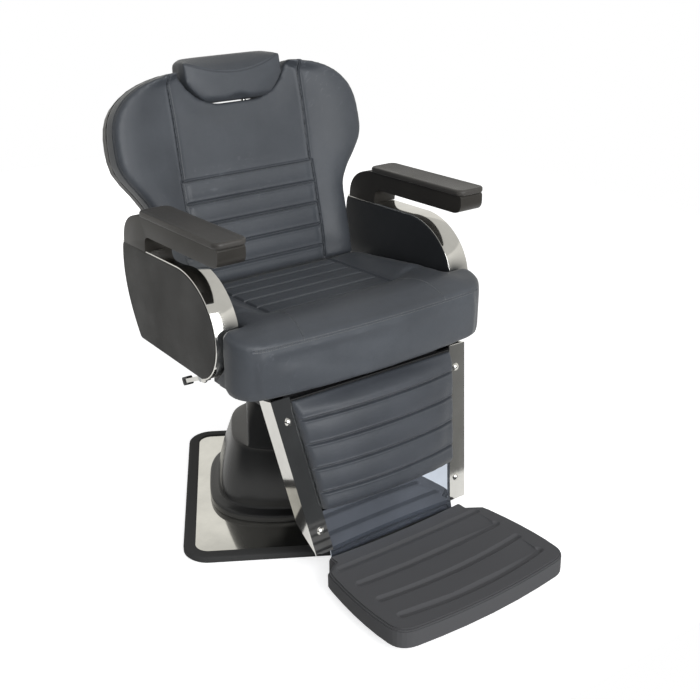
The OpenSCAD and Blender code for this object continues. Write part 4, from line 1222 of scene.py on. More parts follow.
@dataclass
class SeatCushion(Cushion):
    """Seat: a sewn middle, raised sides, a full front roll and low ears under the arms."""

    # Plan: half widths, and places before and behind the turning axis.
    width: float = 642.0
    mid_w: float = 266.0
    panel: float = 160.0
    front: float = 272.0
    rear: float = 165.0
    crease: float = 105.0
    corner: float = 42.0
    bow: float = 28.0
    # Ears: the low ends that reach out under the arms.
    ear_back: float = 177.0
    ear_in: float = 7.0
    under_arm: float = 132.0
    arm_front: float = 171.0
    arm_top: float = 637.3
    between: float = 270.0
    between_z: float = 470.0
    # Heights over the board: sewn middle, raised sides and front roll.
    seat_z: float = 411.3
    deck: float = 92.7
    deck_y: float = 150.0
    deck_fall: float = 0.055
    side_h: float = 88.7
    side_y: float = 195.0
    side_fall: float = 0.136
    crown: float = 7.0
    front_h: float = 117.0
    roll_up: float = 24.0
    roll_fall: float = 3.5
    edge_up: float = 0.35
    edge_run: float = 8.0
    # Where the seams are pressed on from.
    above: float = 600.0
    ahead: float = -330.0

    def half(self, y: float) -> float:
        """Works out the half width of a row.

        Args:
            y: place of the row.

        Returns:
            Half the width, narrow between the arms and round at the front corners.
        """
        if y > -self.ear_back:
            return self.mid_w
        if y > -self.ear_back - self.ear_in:
            return self.width / 2 - self.ear_in
        t = max(0.0, (-y - self.front + self.corner) / self.corner)
        return self.width / 2 - self.corner * (1 - math.sqrt(max(0.0, 1 - t * t)))

    def roll(self, y: float) -> float:
        """Works out the height of the front roll.

        Args:
            y: place of the row.

        Returns:
            Height of the roll, which falls steeply past its front.
        """
        t = (-y - self.crease) / (self.front - self.crease)
        rise = max(0.0, math.sin(math.pi * min(t, 1))) ** 0.8
        top = mix(self.front_h - 10, self.front_h, t) + self.roll_up * rise
        return self.seat_z + top - ((-y - self.front) * self.roll_fall if t > 1 else 0)

    def top(self, x: float, y: float) -> float:
        """Works out the height of the cushion's top.

        Args:
            x: place across.
            y: place of the row.

        Returns:
            Height of the sewn middle, the raised sides or the front roll.
        """
        flat = self.seat_z + self.deck + (self.deck_y - y) * self.deck_fall
        side = self.seat_z + self.side_h + (self.side_y - y) * self.side_fall
        out = smooth((abs(x) - self.panel) / 70)
        share = (abs(x) - self.panel) / (self.mid_w - self.panel)
        crown = self.crown * max(0.0, math.sin(math.pi * share))
        run = 18 + 16 * out
        rear = ((y - self.rear + run) / run) ** 2 * (14 + 12 * out) if y > self.rear - run else 0
        if y > -self.crease:
            return mix(flat + 2, side + crown, out) - rear
        t = (-y - self.crease) / (self.front - self.crease)
        roll = self.roll(y)
        return mix(roll, max(roll, side), out * (1 - smooth((t - 0.1) / 0.5)))

    def bowed(self, y: float) -> float:
        """Returns the bow of a row per square millimetre of x."""
        return self.bow * smooth((-y - self.ear_back) / 60) / (self.width / 2) ** 2

    def rings(self) -> np.ndarray:
        """Returns rows from the back end to the front face."""
        ys = [self.rear, self.rear - 3, self.rear - 7, self.rear - 12]
        ys += list(np.arange(self.rear - 18, -self.crease, -9.0))
        ys += list(np.arange(-self.crease, -131, -6.0)) + [0.5 - self.under_arm, -0.5 - self.under_arm]
        ys += list(np.arange(-138, -176, -5.0)) + [d - self.ear_back for d in (0.2, -0.2, -7.2)]
        ys += list(np.arange(-190, -262, -6.0)) + [-264, -267, -270, -272, -274, -276, -278]
        made = []
        for y in ys:
            w, bow = self.half(y), self.bowed(y)
            xs = across(self.panel, w)
            low = self.seat_z + max(0.0, (-y - self.front + self.edge_run) * self.edge_up)
            tops = rounded([self.top(x, y) for x in xs], -1)
            if y < -self.ear_back or y > -self.under_arm:
                side = [(w, tops[0] - 16), (w - 1, low + 14)]
            else:
                t = (-y - self.arm_front + 81) / 86.5
                z = self.arm_top - 123 - 98 * math.sqrt(max(0.0, 1 - t * t))
                inward = self.ear_in + (12 if y > -self.under_arm - 2 else 0)
                side = [(w, z), (self.width / 2 - inward, z - 5)]
            under = xs[::-1] * (side[1][0] - 6) / w
            row = [(x, z) for x, z in zip(xs, tops)] + side
            row += [(x, low) for x in under] + [(-side[1][0], side[1][1]), (-side[0][0], side[0][1])]
            made.append([(x, y + bow * x * x, z) for x, z in row])
        return np.array(made)

    def held(self, p: np.ndarray) -> np.ndarray:
        """Returns true on the underside, which lies on the board."""
        return p[:, 2] < self.seat_z + 2.5

    def puff(self, p: np.ndarray) -> np.ndarray:
        """Fills the channels of the sewn middle.

        Args:
            p: points in its own axes.

        Returns:
            How far each point stands out, in millimetres.
        """
        rows = billow((-p[:, 1] - self.crease) / self.pitch, 0.7)
        middle = (np.abs(p[:, 0]) < self.panel) & (p[:, 1] > -self.crease) & (p[:, 2] > self.seat_z + 60)
        edge = np.clip((self.panel - np.abs(p[:, 0])) / 14, 0, 1)
        return np.where(middle, (rows * 3.2 - 1.0) * edge, 0.0)

    def limit(self, p: np.ndarray) -> np.ndarray:
        """Keeps the cushion between the arms and on its board.

        Args:
            p: points in its own axes.

        Returns:
            The points that are clear of both.
        """
        high = (p[:, 1] > -self.ear_back + 2) & (p[:, 2] > self.between_z)
        p[:, 0] = np.where(high, np.clip(p[:, 0], -self.between, self.between), p[:, 0])
        p[:, 0] = np.clip(p[:, 0], -self.width / 2 - 1.5, self.width / 2 + 1.5)
        p[:, 2] = np.maximum(p[:, 2], self.seat_z - 3 * np.clip((-p[:, 1] - self.ear_back) / 40, 0, 1))
        p[:, 1] = np.minimum(p[:, 1], self.rear + 0.6)
        return p

    def seams(self) -> list[Seam]:
        """Returns the channels, the panel's sides and the seams of the front roll."""
        made = []
        for k, y in enumerate(np.arange(-self.crease, self.rear - 16, self.pitch)):
            line = [(x, y, self.above) for x in np.linspace(-self.panel, self.panel, 40)]
            made.append(Seam(line, DOWN, 5.5 if k else 7.0, 2.8, (2.6,) if k else ()))
        for side in SIDES:
            ys = np.linspace(-self.crease, self.rear - 12, 40)
            made.append(Seam([(side * self.panel, y, self.above) for y in ys], DOWN, 4.0, 3.0))
            gusset = [
                (side * (self.panel + 22 * t ** 1.4), mix(-self.crease, 9 - self.front, t), self.above)
                for t in np.linspace(0.02, 1, 24)
            ]
            made.append(Seam(gusset, DOWN, 1.3, 1.6, (1.5,)))
        half = self.width / 2
        top = self.seat_z + self.front_h - 4
        edge = [(x, self.ahead, top - 6 * (x / half) ** 2) for x in np.linspace(-half + 34, half - 34, 90)]
        made.append(Seam(edge, INWARD, 1.6, 1.6, (-2.2, 2.2)))
        return made


NOTCH_LINE = ((141.0, 482.0), (111.0, 407.0), (36.0, 405.0))


@dataclass
class BackCushion(Cushion):
    """Winged back: sewn channels below, a plain panel above and a notch for the headrest."""

    # Outline: half widths, and heights up the back.
    length: float = 486.0
    foot: float = 4.0
    waist: float = 252.0
    waist_top: float = 170.0
    wing: float = 320.0
    wing_run: float = 145.0
    shoulder: float = 320.0
    roundness: float = 3.1
    panel: float = 169.0
    panel_top: float = 248.0
    notch_w: float = 137.0
    arm_s: float = 160.0
    arm_gap: float = 255.0
    # Depths: foam behind the front face, and how far its parts stand forward.
    foam: float = 35.0
    waist_lift: float = 18.0
    lift: float = 28.0
    bolster: float = 9.0
    chest: float = 8.0
    chest_run: float = 240.0
    # Where the seams are pressed on from.
    before: float = -60.0

    def half(self, s: float) -> float:
        """Works out the half width of a row.

        Args:
            s: height of the row.

        Returns:
            Half the width: a straight waist, then the round wing.
        """
        if s < self.waist_top:
            return self.waist
        if s < self.shoulder:
            turn = math.pi * min(1, (s - self.waist_top) / self.wing_run)
            return mix(self.waist, self.wing, (1 - math.cos(turn)) / 2)
        share = (s - self.shoulder) / (self.length + 2 - self.shoulder)
        return self.wing * max(0.0, 1 - share ** self.roundness) ** (1 / self.roundness)

    def front(self, x: float, s: float) -> float:
        """Works out the depth of the front face.

        Args:
            x: place across.
            s: height of the row.

        Returns:
            Depth, negative towards the sitter.
        """
        w = self.half(s)
        wing = mix(self.waist_lift, self.lift, smooth((s - 150) / 150))
        t = max(0.0, (abs(x) - self.panel) / (max(w, self.panel + 60) - self.panel))
        rise = math.radians(135) * min(1, max(0.0, s - self.panel_top) / self.chest_run)
        middle = 2 + max(0.0, self.chest * math.sin(rise) - 2) * max(0.0, 1 - t * 3)
        bolster = self.bolster * max(0.0, math.sin(math.pi * min(t, 1)))
        return -wing * min(t, 1) ** 1.5 - bolster - middle

    def rings(self) -> np.ndarray:
        """Returns rows from the top of the back to its foot."""
        top = [self.length - d for d in (0, 1.5, 4, 8, 14, 22, 31, 40, 52, 64, 78, 92, 108, 124, 142)]
        rows = top + list(np.arange(336, 30, -8.0)) + [30, 24, 18, 13, 9, 6, self.foot]
        made = []
        for s in rows:
            w = self.half(s)
            squeeze = min(1.0, w / self.waist)
            xs = across(self.panel, max(w, self.waist)) * squeeze
            end = 0.0
            if s < self.foot + 14:
                end = ((self.foot + 14 - s) / 14) ** 2 * 14
            elif s > self.length - 12:
                end = ((s - self.length + 12) / 12) ** 2 * 10
            foot = (30 - s) * 0.5 / self.foam if s < 30 else 0.0
            fronts = rounded([self.front(x / squeeze, s) + end for x in xs], 1)
            e = fronts[0]
            row = [(x, n, s) for x, n in zip(xs, fronts)]
            row += [(w, e + 14, s - foot * (e + 14)), (w - 1, self.foam - 8, s - foot * 27)]
            row += [(x * (w - 7) / max(w, 1e-6), self.foam, s - foot * self.foam) for x in xs[::-1]]
            row += [(1 - w, self.foam - 8, s - foot * 27), (-w, e + 14, s - foot * (e + 14))]
            made.append(row)
        return np.array(made)

    def trim(self, piece: Piece) -> None:
        """Cuts the notch of the headrest.

        Args:
            piece: the plain form.
        """
        side = bezier(*NOTCH_LINE, 24)
        mouth, over = self.notch_w + 10, self.length + 40
        outline = [(mouth, over)] + side + [(-x, s) for x, s in side[::-1]] + [(-mouth, over)]
        front = self.axes.world(np.array([(x, -80.0, s) for x, s in outline]))
        rear = self.axes.world(np.array([(0.0, 80.0, 0.0), (0.0, -80.0, 0.0)]))
        cutter = Bench.prism("notch_cutter", front, rear[0] - rear[1])
        Bench.modify(piece, "BOOLEAN", operation="DIFFERENCE", object=cutter, solver="EXACT")
        bpy.data.objects.remove(cutter)

    def held(self, p: np.ndarray) -> np.ndarray:
        """Returns true on the rear face, which lies on the board."""
        return p[:, 1] > self.foam - 2.5

    def puff(self, p: np.ndarray) -> np.ndarray:
        """Fills the channels of the lower panel.

        Args:
            p: points in its own axes.

        Returns:
            How far each point stands out, in millimetres.
        """
        f = (self.panel_top - p[:, 2]) / self.pitch
        rows = billow(f, 0.7)
        middle = (np.abs(p[:, 0]) < self.panel) & (f > 0) & (p[:, 1] < 12)
        edge = np.clip((self.panel - np.abs(p[:, 0])) / 14, 0, 1) * np.clip(p[:, 2] / 25, 0, 1)
        return np.where(middle, (rows * 4.2 - 1.0) * edge, 0.0)

    def limit(self, p: np.ndarray) -> np.ndarray:
        """Keeps the cushion on its board and clear of the arms.

        Args:
            p: points in its own axes.

        Returns:
            The points that are clear of both.
        """
        p[:, 1] = np.minimum(p[:, 1], self.foam)
        low = p[:, 2] < self.arm_s
        p[:, 0] = np.where(low, np.clip(p[:, 0], -self.arm_gap, self.arm_gap), p[:, 0])
        return p

    def seams(self) -> list[Seam]:
        """Returns the channels, the piped panel sides and the line above the channels."""
        made = []
        for k in range(5):
            s = self.panel_top - k * self.pitch
            line = [(x, self.before, s) for x in np.linspace(-self.panel, self.panel, 40)]
            depth, welt = (5.5, 0.0) if k else (3.2, 1.7)
            made.append(Seam(line, INWARD, depth, 2.6, (-3.2,) if k < 3 else (), welt))
        for side in SIDES:
            for a, b, out in ((14.0, self.panel_top - 1, 4.0), (self.panel_top, self.length - 12, 0.0)):
                line = [(side * (self.panel + out), self.before, s) for s in np.linspace(a, b, 60)]
                made.append(Seam(line, INWARD, 3.4, 2.6, (side * 4.6,), welt=1.5))
            edge = []
            for s in np.concatenate([np.linspace(12, 330, 70), self.length - 3 - np.geomspace(150, 1, 60)]):
                w = self.half(s)
                if w > self.notch_w + 6 or s < 400:
                    edge.append((side * (w - 1), self.front(w, s) + 17, s))
            made.append(Seam(edge, NEAREST, 1.6, 2.2, welt=1.8))
        return made


@dataclass
class CalfPad(Cushion):
    """Legrest pad: a crowned pad with five sewn channels between the brackets."""

    leg_length: float = 346.0
    leg_foot: float = 203.5
    leg_top: float = 254.5
    inset: float = 41.0
    top_s: float = 338.0
    foot_s: float = 92.0
    first: float = 41.0
    crown: float = 42.0
    back: float = 4.0

    def half(self, s: float) -> float:
        """Returns the half width at the height s."""
        return mix(self.leg_foot, self.leg_top, s / self.leg_length) - self.inset

    def rings(self) -> np.ndarray:
        """Returns rows from the pad's top to its foot."""
        rows = [self.top_s - d for d in (0, 2, 5, 9, 14, 20, 27, 34)]
        rows += list(np.arange(self.top_s - 41, self.foot_s + 30, -7.0))
        rows += [self.foot_s + d for d in (24, 18, 12, 8, 4, 1.5, 0)]
        made = []
        for s in rows:
            w = self.half(s)
            share = np.array([-0.99, -0.96, -0.91, -0.84, -0.74, -0.62, -0.48, -0.32, -0.16])
            xs = np.concatenate([share, [0], -share[::-1]]) * w
            top, foot = smooth((self.top_s - s) / 30), smooth((s - self.foot_s + 12) / 30)
            flat, high = 9 + 7 * top * foot, (self.crown - 19) * top * mix(0.8, 1, foot)
            fronts = [-(flat + high * (1 - (x / w) ** 2)) for x in xs]
            fronts[0] = fronts[-1] = fronts[0] + 6
            row = [(x, n, s) for x, n in zip(xs, fronts)] + [(w, fronts[0] / 2, s)]
            row += [(x, self.back, s) for x in xs[::-1]] + [(-w, fronts[0] / 2, s)]
            made.append(row)
        return np.array(made)

    def held(self, p: np.ndarray) -> np.ndarray:
        """Returns true on the rear face, which lies on the board."""
        return p[:, 1] > self.back - 2.5

    def puff(self, p: np.ndarray) -> np.ndarray:
        """Fills the channels.

        Args:
            p: points in its own axes.

        Returns:
            How far each point stands out, in millimetres.
        """
        rows = billow((p[:, 2] - self.foot_s - self.first) / self.pitch, 0.75)
        face = p[:, 1] < -4
        ends = np.clip((self.top_s - p[:, 2]) / 30, 0, 1) * np.clip((p[:, 2] - self.foot_s) / 12, 0.3, 1)
        return np.where(face, (rows * 3.8 - 1.0) * ends, 0.0)

    def limit(self, p: np.ndarray) -> np.ndarray:
        """Keeps the pad between the brackets and on its board.

        Args:
            p: points in its own axes.

        Returns:
            The points that are clear of both.
        """
        p[:, 1] = np.minimum(p[:, 1], self.back)
        w = self.half(p[:, 2]) - 3.2
        p[:, 0] = np.clip(p[:, 0], -w, w)
        p[:, 2] = np.minimum(p[:, 2], self.top_s + 1)
        return p

    def seams(self) -> list[Seam]:
        """Returns the seams between the channels."""
        made = []
        for k in range(4):
            s = self.foot_s + self.first + k * self.pitch
            w = self.half(s) - 5
            line = [(x, -80.0, s) for x in np.linspace(-w, w, 40)]
            made.append(Seam(line, INWARD, 5.2, 2.2, (3.0,)))
        return made


@dataclass
class HeadrestPillow(Cushion):
    """Headrest: a bowl-shaped pillow whose top leans back from a dipped front edge."""

    foot_s: float = 414.0
    length: float = 98.0
    width: float = 127.0
    gap: float = 1.5
    hang: float = 7.5
    edge_share: float = 0.56
    dip: float = 32.0
    face: float = -22.0
    top_n: float = 34.0
    rear: float = 60.0

    def rim(self, x: float) -> float:
        """Returns the height of the dipped front edge at x."""
        return self.foot_s + self.length * self.edge_share + self.dip * (x / self.width) ** 2

    def half(self, s: float) -> float:
        """Works out the half width of a row.

        Args:
            s: height of the row.

        Returns:
            Half the width, just inside the notch of the back.
        """
        side = bezier(*NOTCH_LINE, 40)
        for a, b in zip(side[:-1], side[1:]):
            if b[1] <= s <= a[1]:
                share = (s - b[1]) / max(a[1] - b[1], 1e-6)
                return min(self.width, mix(b[0], a[0], share) - self.gap)
        return self.width

    def rings(self) -> np.ndarray:
        """Returns rows from the pillow's top to its foot."""
        steps = [1, 0.995, 0.985, 0.97, 0.95, 0.925, 0.9, 0.86, 0.82, 0.78, 0.74, 0.7, 0.66, 0.61, 0.56, 0.5,
                 0.44, 0.38, 0.32, 0.26, 0.2, 0.15, 0.1, 0.07, 0.04, 0.02, 0]
        share = np.array([-0.98, -0.95, -0.9, -0.82, -0.72, -0.6, -0.45, -0.34, -0.22, -0.11])
        shares = np.concatenate([share, [0], -share[::-1]])
        made = []
        for t in steps:
            s = self.foot_s + t * self.length
            w = self.half(s) - (22 * ((t - 0.8) / 0.2) ** 3 if t > 0.8 else 0)
            end = ((0.1 - t) / 0.1) ** 2 * 14 if t < 0.1 else 0.0
            fronts = []
            for x in shares * w:
                rim = self.rim(x)
                flat = self.face + 10 * (x / w) ** 4
                lean = (max(0.0, s - rim) / (self.foot_s + self.length - rim + 0.01)) ** 1.2
                fronts.append(flat + end if s < rim else mix(flat, self.top_n, lean))
            rear = self.rear - 8 * t ** 3 - end
            row = [(x, n, s) for x, n in zip(shares * w, fronts)]
            row += [(w, mix(fronts[-1], rear, 0.3), s), (w, mix(fronts[-1], rear, 0.75), s)]
            row += [(x, rear - 9 * (x / w) ** 4, s) for x in (shares * w)[::-1]]
            row += [(-w, mix(fronts[0], rear, 0.75), s), (-w, mix(fronts[0], rear, 0.3), s)]
            made.append([(x, n, z - self.hang * (1 - t) ** 6 * smooth((abs(x) - 6) / 26)) for x, n, z in row])
        return np.array(made)

    def held(self, p: np.ndarray) -> np.ndarray:
        """Returns true along the foot, which rests on the carrier."""
        return (p[:, 2] < self.foot_s + 2) & (p[:, 1] > 4)

    def limit(self, p: np.ndarray) -> np.ndarray:
        """Keeps the pillow on its carrier."""
        p[:, 2] = np.maximum(p[:, 2], self.foot_s - self.hang)
        return p

    def seams(self) -> list[Seam]:
        """Returns the seam along the dipped front edge."""
        xs = np.linspace(-self.width + 10, self.width - 10, 60)
        return [Seam([(x, -60.0, self.rim(x) + 1) for x in xs], INWARD, 1.2, 2.0)]


# ---------------------------------------------------------------- rigid parts


@dataclass
class Arms:
    """Both arms: panels, polished bands, moulded armrests and their pads."""

    span: float = 654.0
    thick: float = 54.0
    arm_top: float = 637.3
    arm_z: float = 421.3
    height: float = 216.0
    front: float = 171.0
    brow: float = 141.0
    brow_h: float = 123.0
    chin: float = 81.0
    top_back: float = -242.0
    rear: float = 216.0
    band: float = 3.0
    panel: float = 10.0
    rise: float = 2.0
    rest_y: float = -30.0
    rest_top: float = 78.0
    rest_front: float = 175.0
    pad_w: float = 74.0
    pad_t: float = 13.0

    @property
    def mid(self) -> float:
        """Distance of an arm's middle from the chair's."""
        return self.span / 2 - self.thick / 2

    def rest_point(self, u: float, z: float) -> Point:
        """Returns forward and up for a place along and over the rising top edge."""
        c, s = math.cos(math.radians(self.rise)), math.sin(math.radians(self.rise))
        return (u * c - z * s - self.rest_y, u * s + z * c + self.arm_top)

    def front_edge(self, n: int) -> list[Point]:
        """Works out the curve of the arm's front.

        Args:
            n: number of steps of its upper arc.

        Returns:
            Points from the top edge down to the sole, as forward and up.
        """
        z = self.arm_top - self.brow_h
        upper = arc((self.front - self.brow, z), self.brow, self.brow_h, 90, 0, n)
        return upper + arc((self.front - self.chin, z), self.chin, self.height - self.brow_h, -4, -76, n // 2)

    def outline(self) -> list[Point]:
        """Returns the outline of a panel as forward and up."""
        foot, middle = (-163, self.arm_z + 2), (-236, self.arm_z + 108)
        back = bezier(foot, middle, (-self.rear, self.arm_top - 15), 18)
        sole = [(self.front - 64, self.arm_z), (-156, self.arm_z)]
        return [self.rest_point(self.top_back, 0)] + self.front_edge(40) + sole + back

    @staticmethod
    def at(x: float, points: Sequence[Point]) -> np.ndarray:
        """Returns a side outline, given as forward and up, as points in metres at x."""
        return np.array([(x, -f, z) for f, z in points]) * MM

    def side_panel(self, name: str, node: str, side: int, outer: bool, finish: Finish) -> None:
        """Makes a padded side panel.

        Args:
            name: name of the piece.
            node: CAD node that it stands for.
            side: -1 or 1.
            outer: true for the panel on the outside of the arm.
            finish: its cover.
        """
        faced = side if outer else -side
        x = side * (self.span / 2 - (self.panel if outer else self.thick - self.panel))
        piece = Bench.prism(name, self.at(x, self.outline()), (faced * (self.panel - 1.5) * MM, 0, 0))
        with Bench.edit(piece) as mesh:
            bpy.ops.mesh.select_mode(type="FACE")
            Bench.pick_faces(mesh, piece, lambda f: f.normal.x * faced > 0.9)
            bpy.ops.mesh.inset(thickness=1.0 * MM, depth=0.9 * MM)
            bpy.ops.mesh.inset(thickness=2.0 * MM, depth=0.6 * MM)
            bpy.ops.mesh.inset(thickness=1.5 * MM)
            bpy.ops.mesh.inset(thickness=1.5 * MM)
        Bench.outward(piece)
        Bench.shade(piece, 50)
        self.finish_piece(piece, node, finish, "panel")

    def band_strip(self, name: str, node: str, side: int) -> None:
        """Makes the polished strip over the arm's top and round its front.

        Args:
            name: name of the piece.
            node: CAD node that it stands for.
            side: -1 or 1.
        """
        edge = [self.rest_point(self.top_back, 0)] + self.front_edge(60)
        line = self.at(side * self.mid - self.thick / 2, edge)
        piece = Bench.outline(name, line, filled=False)
        with Bench.edit(piece) as mesh:
            bpy.ops.mesh.select_mode(type="EDGE")
            closing = Vector((line[0] + line[-1]) / 2)
            Bench.pick_edges(
                mesh, piece, lambda e: ((e.verts[0].co + e.verts[1].co) / 2 - closing).length < 1e-5
            )
            bpy.ops.mesh.delete(type="EDGE_FACE")
            bpy.ops.mesh.select_all(action="SELECT")
            Bench.extrude((self.thick * MM, 0, 0))
            bpy.ops.mesh.select_all(action="SELECT")
            bpy.ops.mesh.normals_make_consistent(inside=False)
        if sum(f.normal.z for f in piece.data.polygons) < 0:
            piece.data.flip_normals()
        Bench.modify(piece, "SOLIDIFY", thickness=self.band * MM, offset=1.0)
        Bench.outward(piece)
        Bench.soften(piece, 0.8, 3, 60, 35)
        self.finish_piece(piece, node, CHROME, "chrome")

    def armrest(self, name: str, node: str, side: int) -> None:
        """Makes the moulded armrest: a foot on the band and a bar over the arm.

        Args:
            name: name of the piece.
            node: CAD node that it stands for.
            side: -1 or 1.
        """
        b, top, end = self.band, self.rest_top, self.rest_front
        outline = (
            bezier((-228, b + 5), (-224, top - 9), (-146, top), 16)
            + [(end - 3, top), (end, top - 5)]
            + bezier((end, top - 16), (end, b + 35), (end - 26, b + 35), 12)
            + bezier((-108, b + 35), (-126, b + 35), (-128, b + 17), 10)
            + [(-130, b + 0.2), (-228, b + 0.2)]
        )
        points = [self.rest_point(u, z) for u, z in outline]
        width = self.pad_w - 12
        piece = Bench.prism(name, self.at(side * self.mid - width / 2, points), (width * MM, 0, 0))
        tip = -(self.rest_point(end, top - 20)[0] - 16) * MM

        def at_tip(edge: bmesh.types.BMEdge) -> bool:
            """Returns true for an upright edge at the front end of the bar."""
            a, b = (v.co for v in edge.verts)
            return a.y < tip and b.y < tip and abs(a.x - b.x) < 1e-6

        with Bench.edit(piece) as mesh:
            Bench.pick_edges(mesh, piece, at_tip)
            bpy.ops.mesh.bevel(offset=15 * MM, segments=8, clamp_overlap=True)
        Bench.outward(piece)
        Bench.soften(piece, 3.2, 4, 50, 30)
        self.finish_piece(piece, node, ARM_PLASTIC, "arm_plastic")

    def rest_pad(self, name: str, node: str, side: int) -> None:
        """Makes the pad on the armrest, with round corners and a rolled edge.

        Args:
            name: name of the piece.
            node: CAD node that it stands for.
            side: -1 or 1.
        """
        r = 18.0
        w, low, high = self.pad_w / 2 - r, r - 142.0, self.rest_front + 5 - r
        plan = []
        for turn, corner in enumerate(((w, high), (-w, high), (-w, low), (w, low))):
            plan += arc(corner, r, r, 90 * turn, 90 * turn + 90, 10)

        def lifted(z: float) -> np.ndarray:
            """Returns the plan at a height over the armrest's top edge."""
            places = [(x, *self.rest_point(u, self.rest_top + z)) for x, u in plan]
            return np.array([(side * self.mid + x, -f, h) for x, f, h in places]) * MM

        step = lifted(self.pad_t)[0] - lifted(0.2)[0]
        piece = Bench.prism(name, lifted(0.2), step)
        with Bench.edit(piece) as mesh:
            bpy.ops.mesh.select_mode(type="FACE")
            Bench.pick_faces(mesh, piece, lambda f: f.normal.z > 0.9)
            bpy.ops.mesh.inset(thickness=7 * MM)
            bpy.ops.mesh.inset(thickness=6 * MM, depth=-0.9 * MM)
        Bench.outward(piece)
        Bench.soften(piece, 4.6, 6, 60, 50)
        self.finish_piece(piece, node, PAD_HIDE, "panel")

    @staticmethod
    def finish_piece(piece: Piece, node: str, finish: Finish, slot: str) -> None:
        """Dresses a piece and lets it stand for its CAD node on the seat's body.

        Args:
            piece: the finished mesh.
            node: CAD node that it stands for.
            finish: its finish.
            slot: not used.
        """
        coat(piece, finish)
        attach(piece, "seat")
        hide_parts(node)
        log.info("%s: %d faces", piece.name, len(piece.data.polygons))

    def build(self) -> None:
        """Makes every piece of both arms."""
        for side, word in ((-1, "left"), (1, "right")):
            self.side_panel(f"side_panel_{word}", f"outer_panel_{word}", side, True, PANEL_HIDE)
            self.side_panel(f"lining_panel_{word}", f"inner_panel_{word}", side, False, INNER_HIDE)
            self.band_strip(f"polished_band_{word}", f"arm_band_{word}", side)
            self.armrest(f"moulded_armrest_{word}", f"armrest_{word}", side)
            self.rest_pad(f"soft_pad_{word}", f"arm_pad_{word}", side)


@dataclass
class GapShadeStrip:
    """Dark strip along the foot of the polished plate, which closes the gap to the footrest; its dark rubber
    colour is painted shade for the shaded line where tread and plate meet.
    """

    half: float = 164.0
    front: float = 325.4
    rear: float = 321.0
    low: float = 36.0
    high: float = 50.5

    def build(self) -> None:
        """Makes the strip."""
        front, rear = -self.front, -self.rear
        corners = ((front, self.low), (rear, self.low), (rear, self.high), (front, self.high))
        outline = np.array([(-self.half, y, z) for y, z in corners]) * MM
        piece = Bench.prism("plate_seal", outline, (2 * self.half * MM, 0, 0))
        Bench.soften(piece, 0.8, 2, 50, 30)
        # Dark rubber colour: painted shade for the shaded joint between the tread and the plate.
        coat(piece, RIM_RUBBER)
        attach(piece, "legrest")


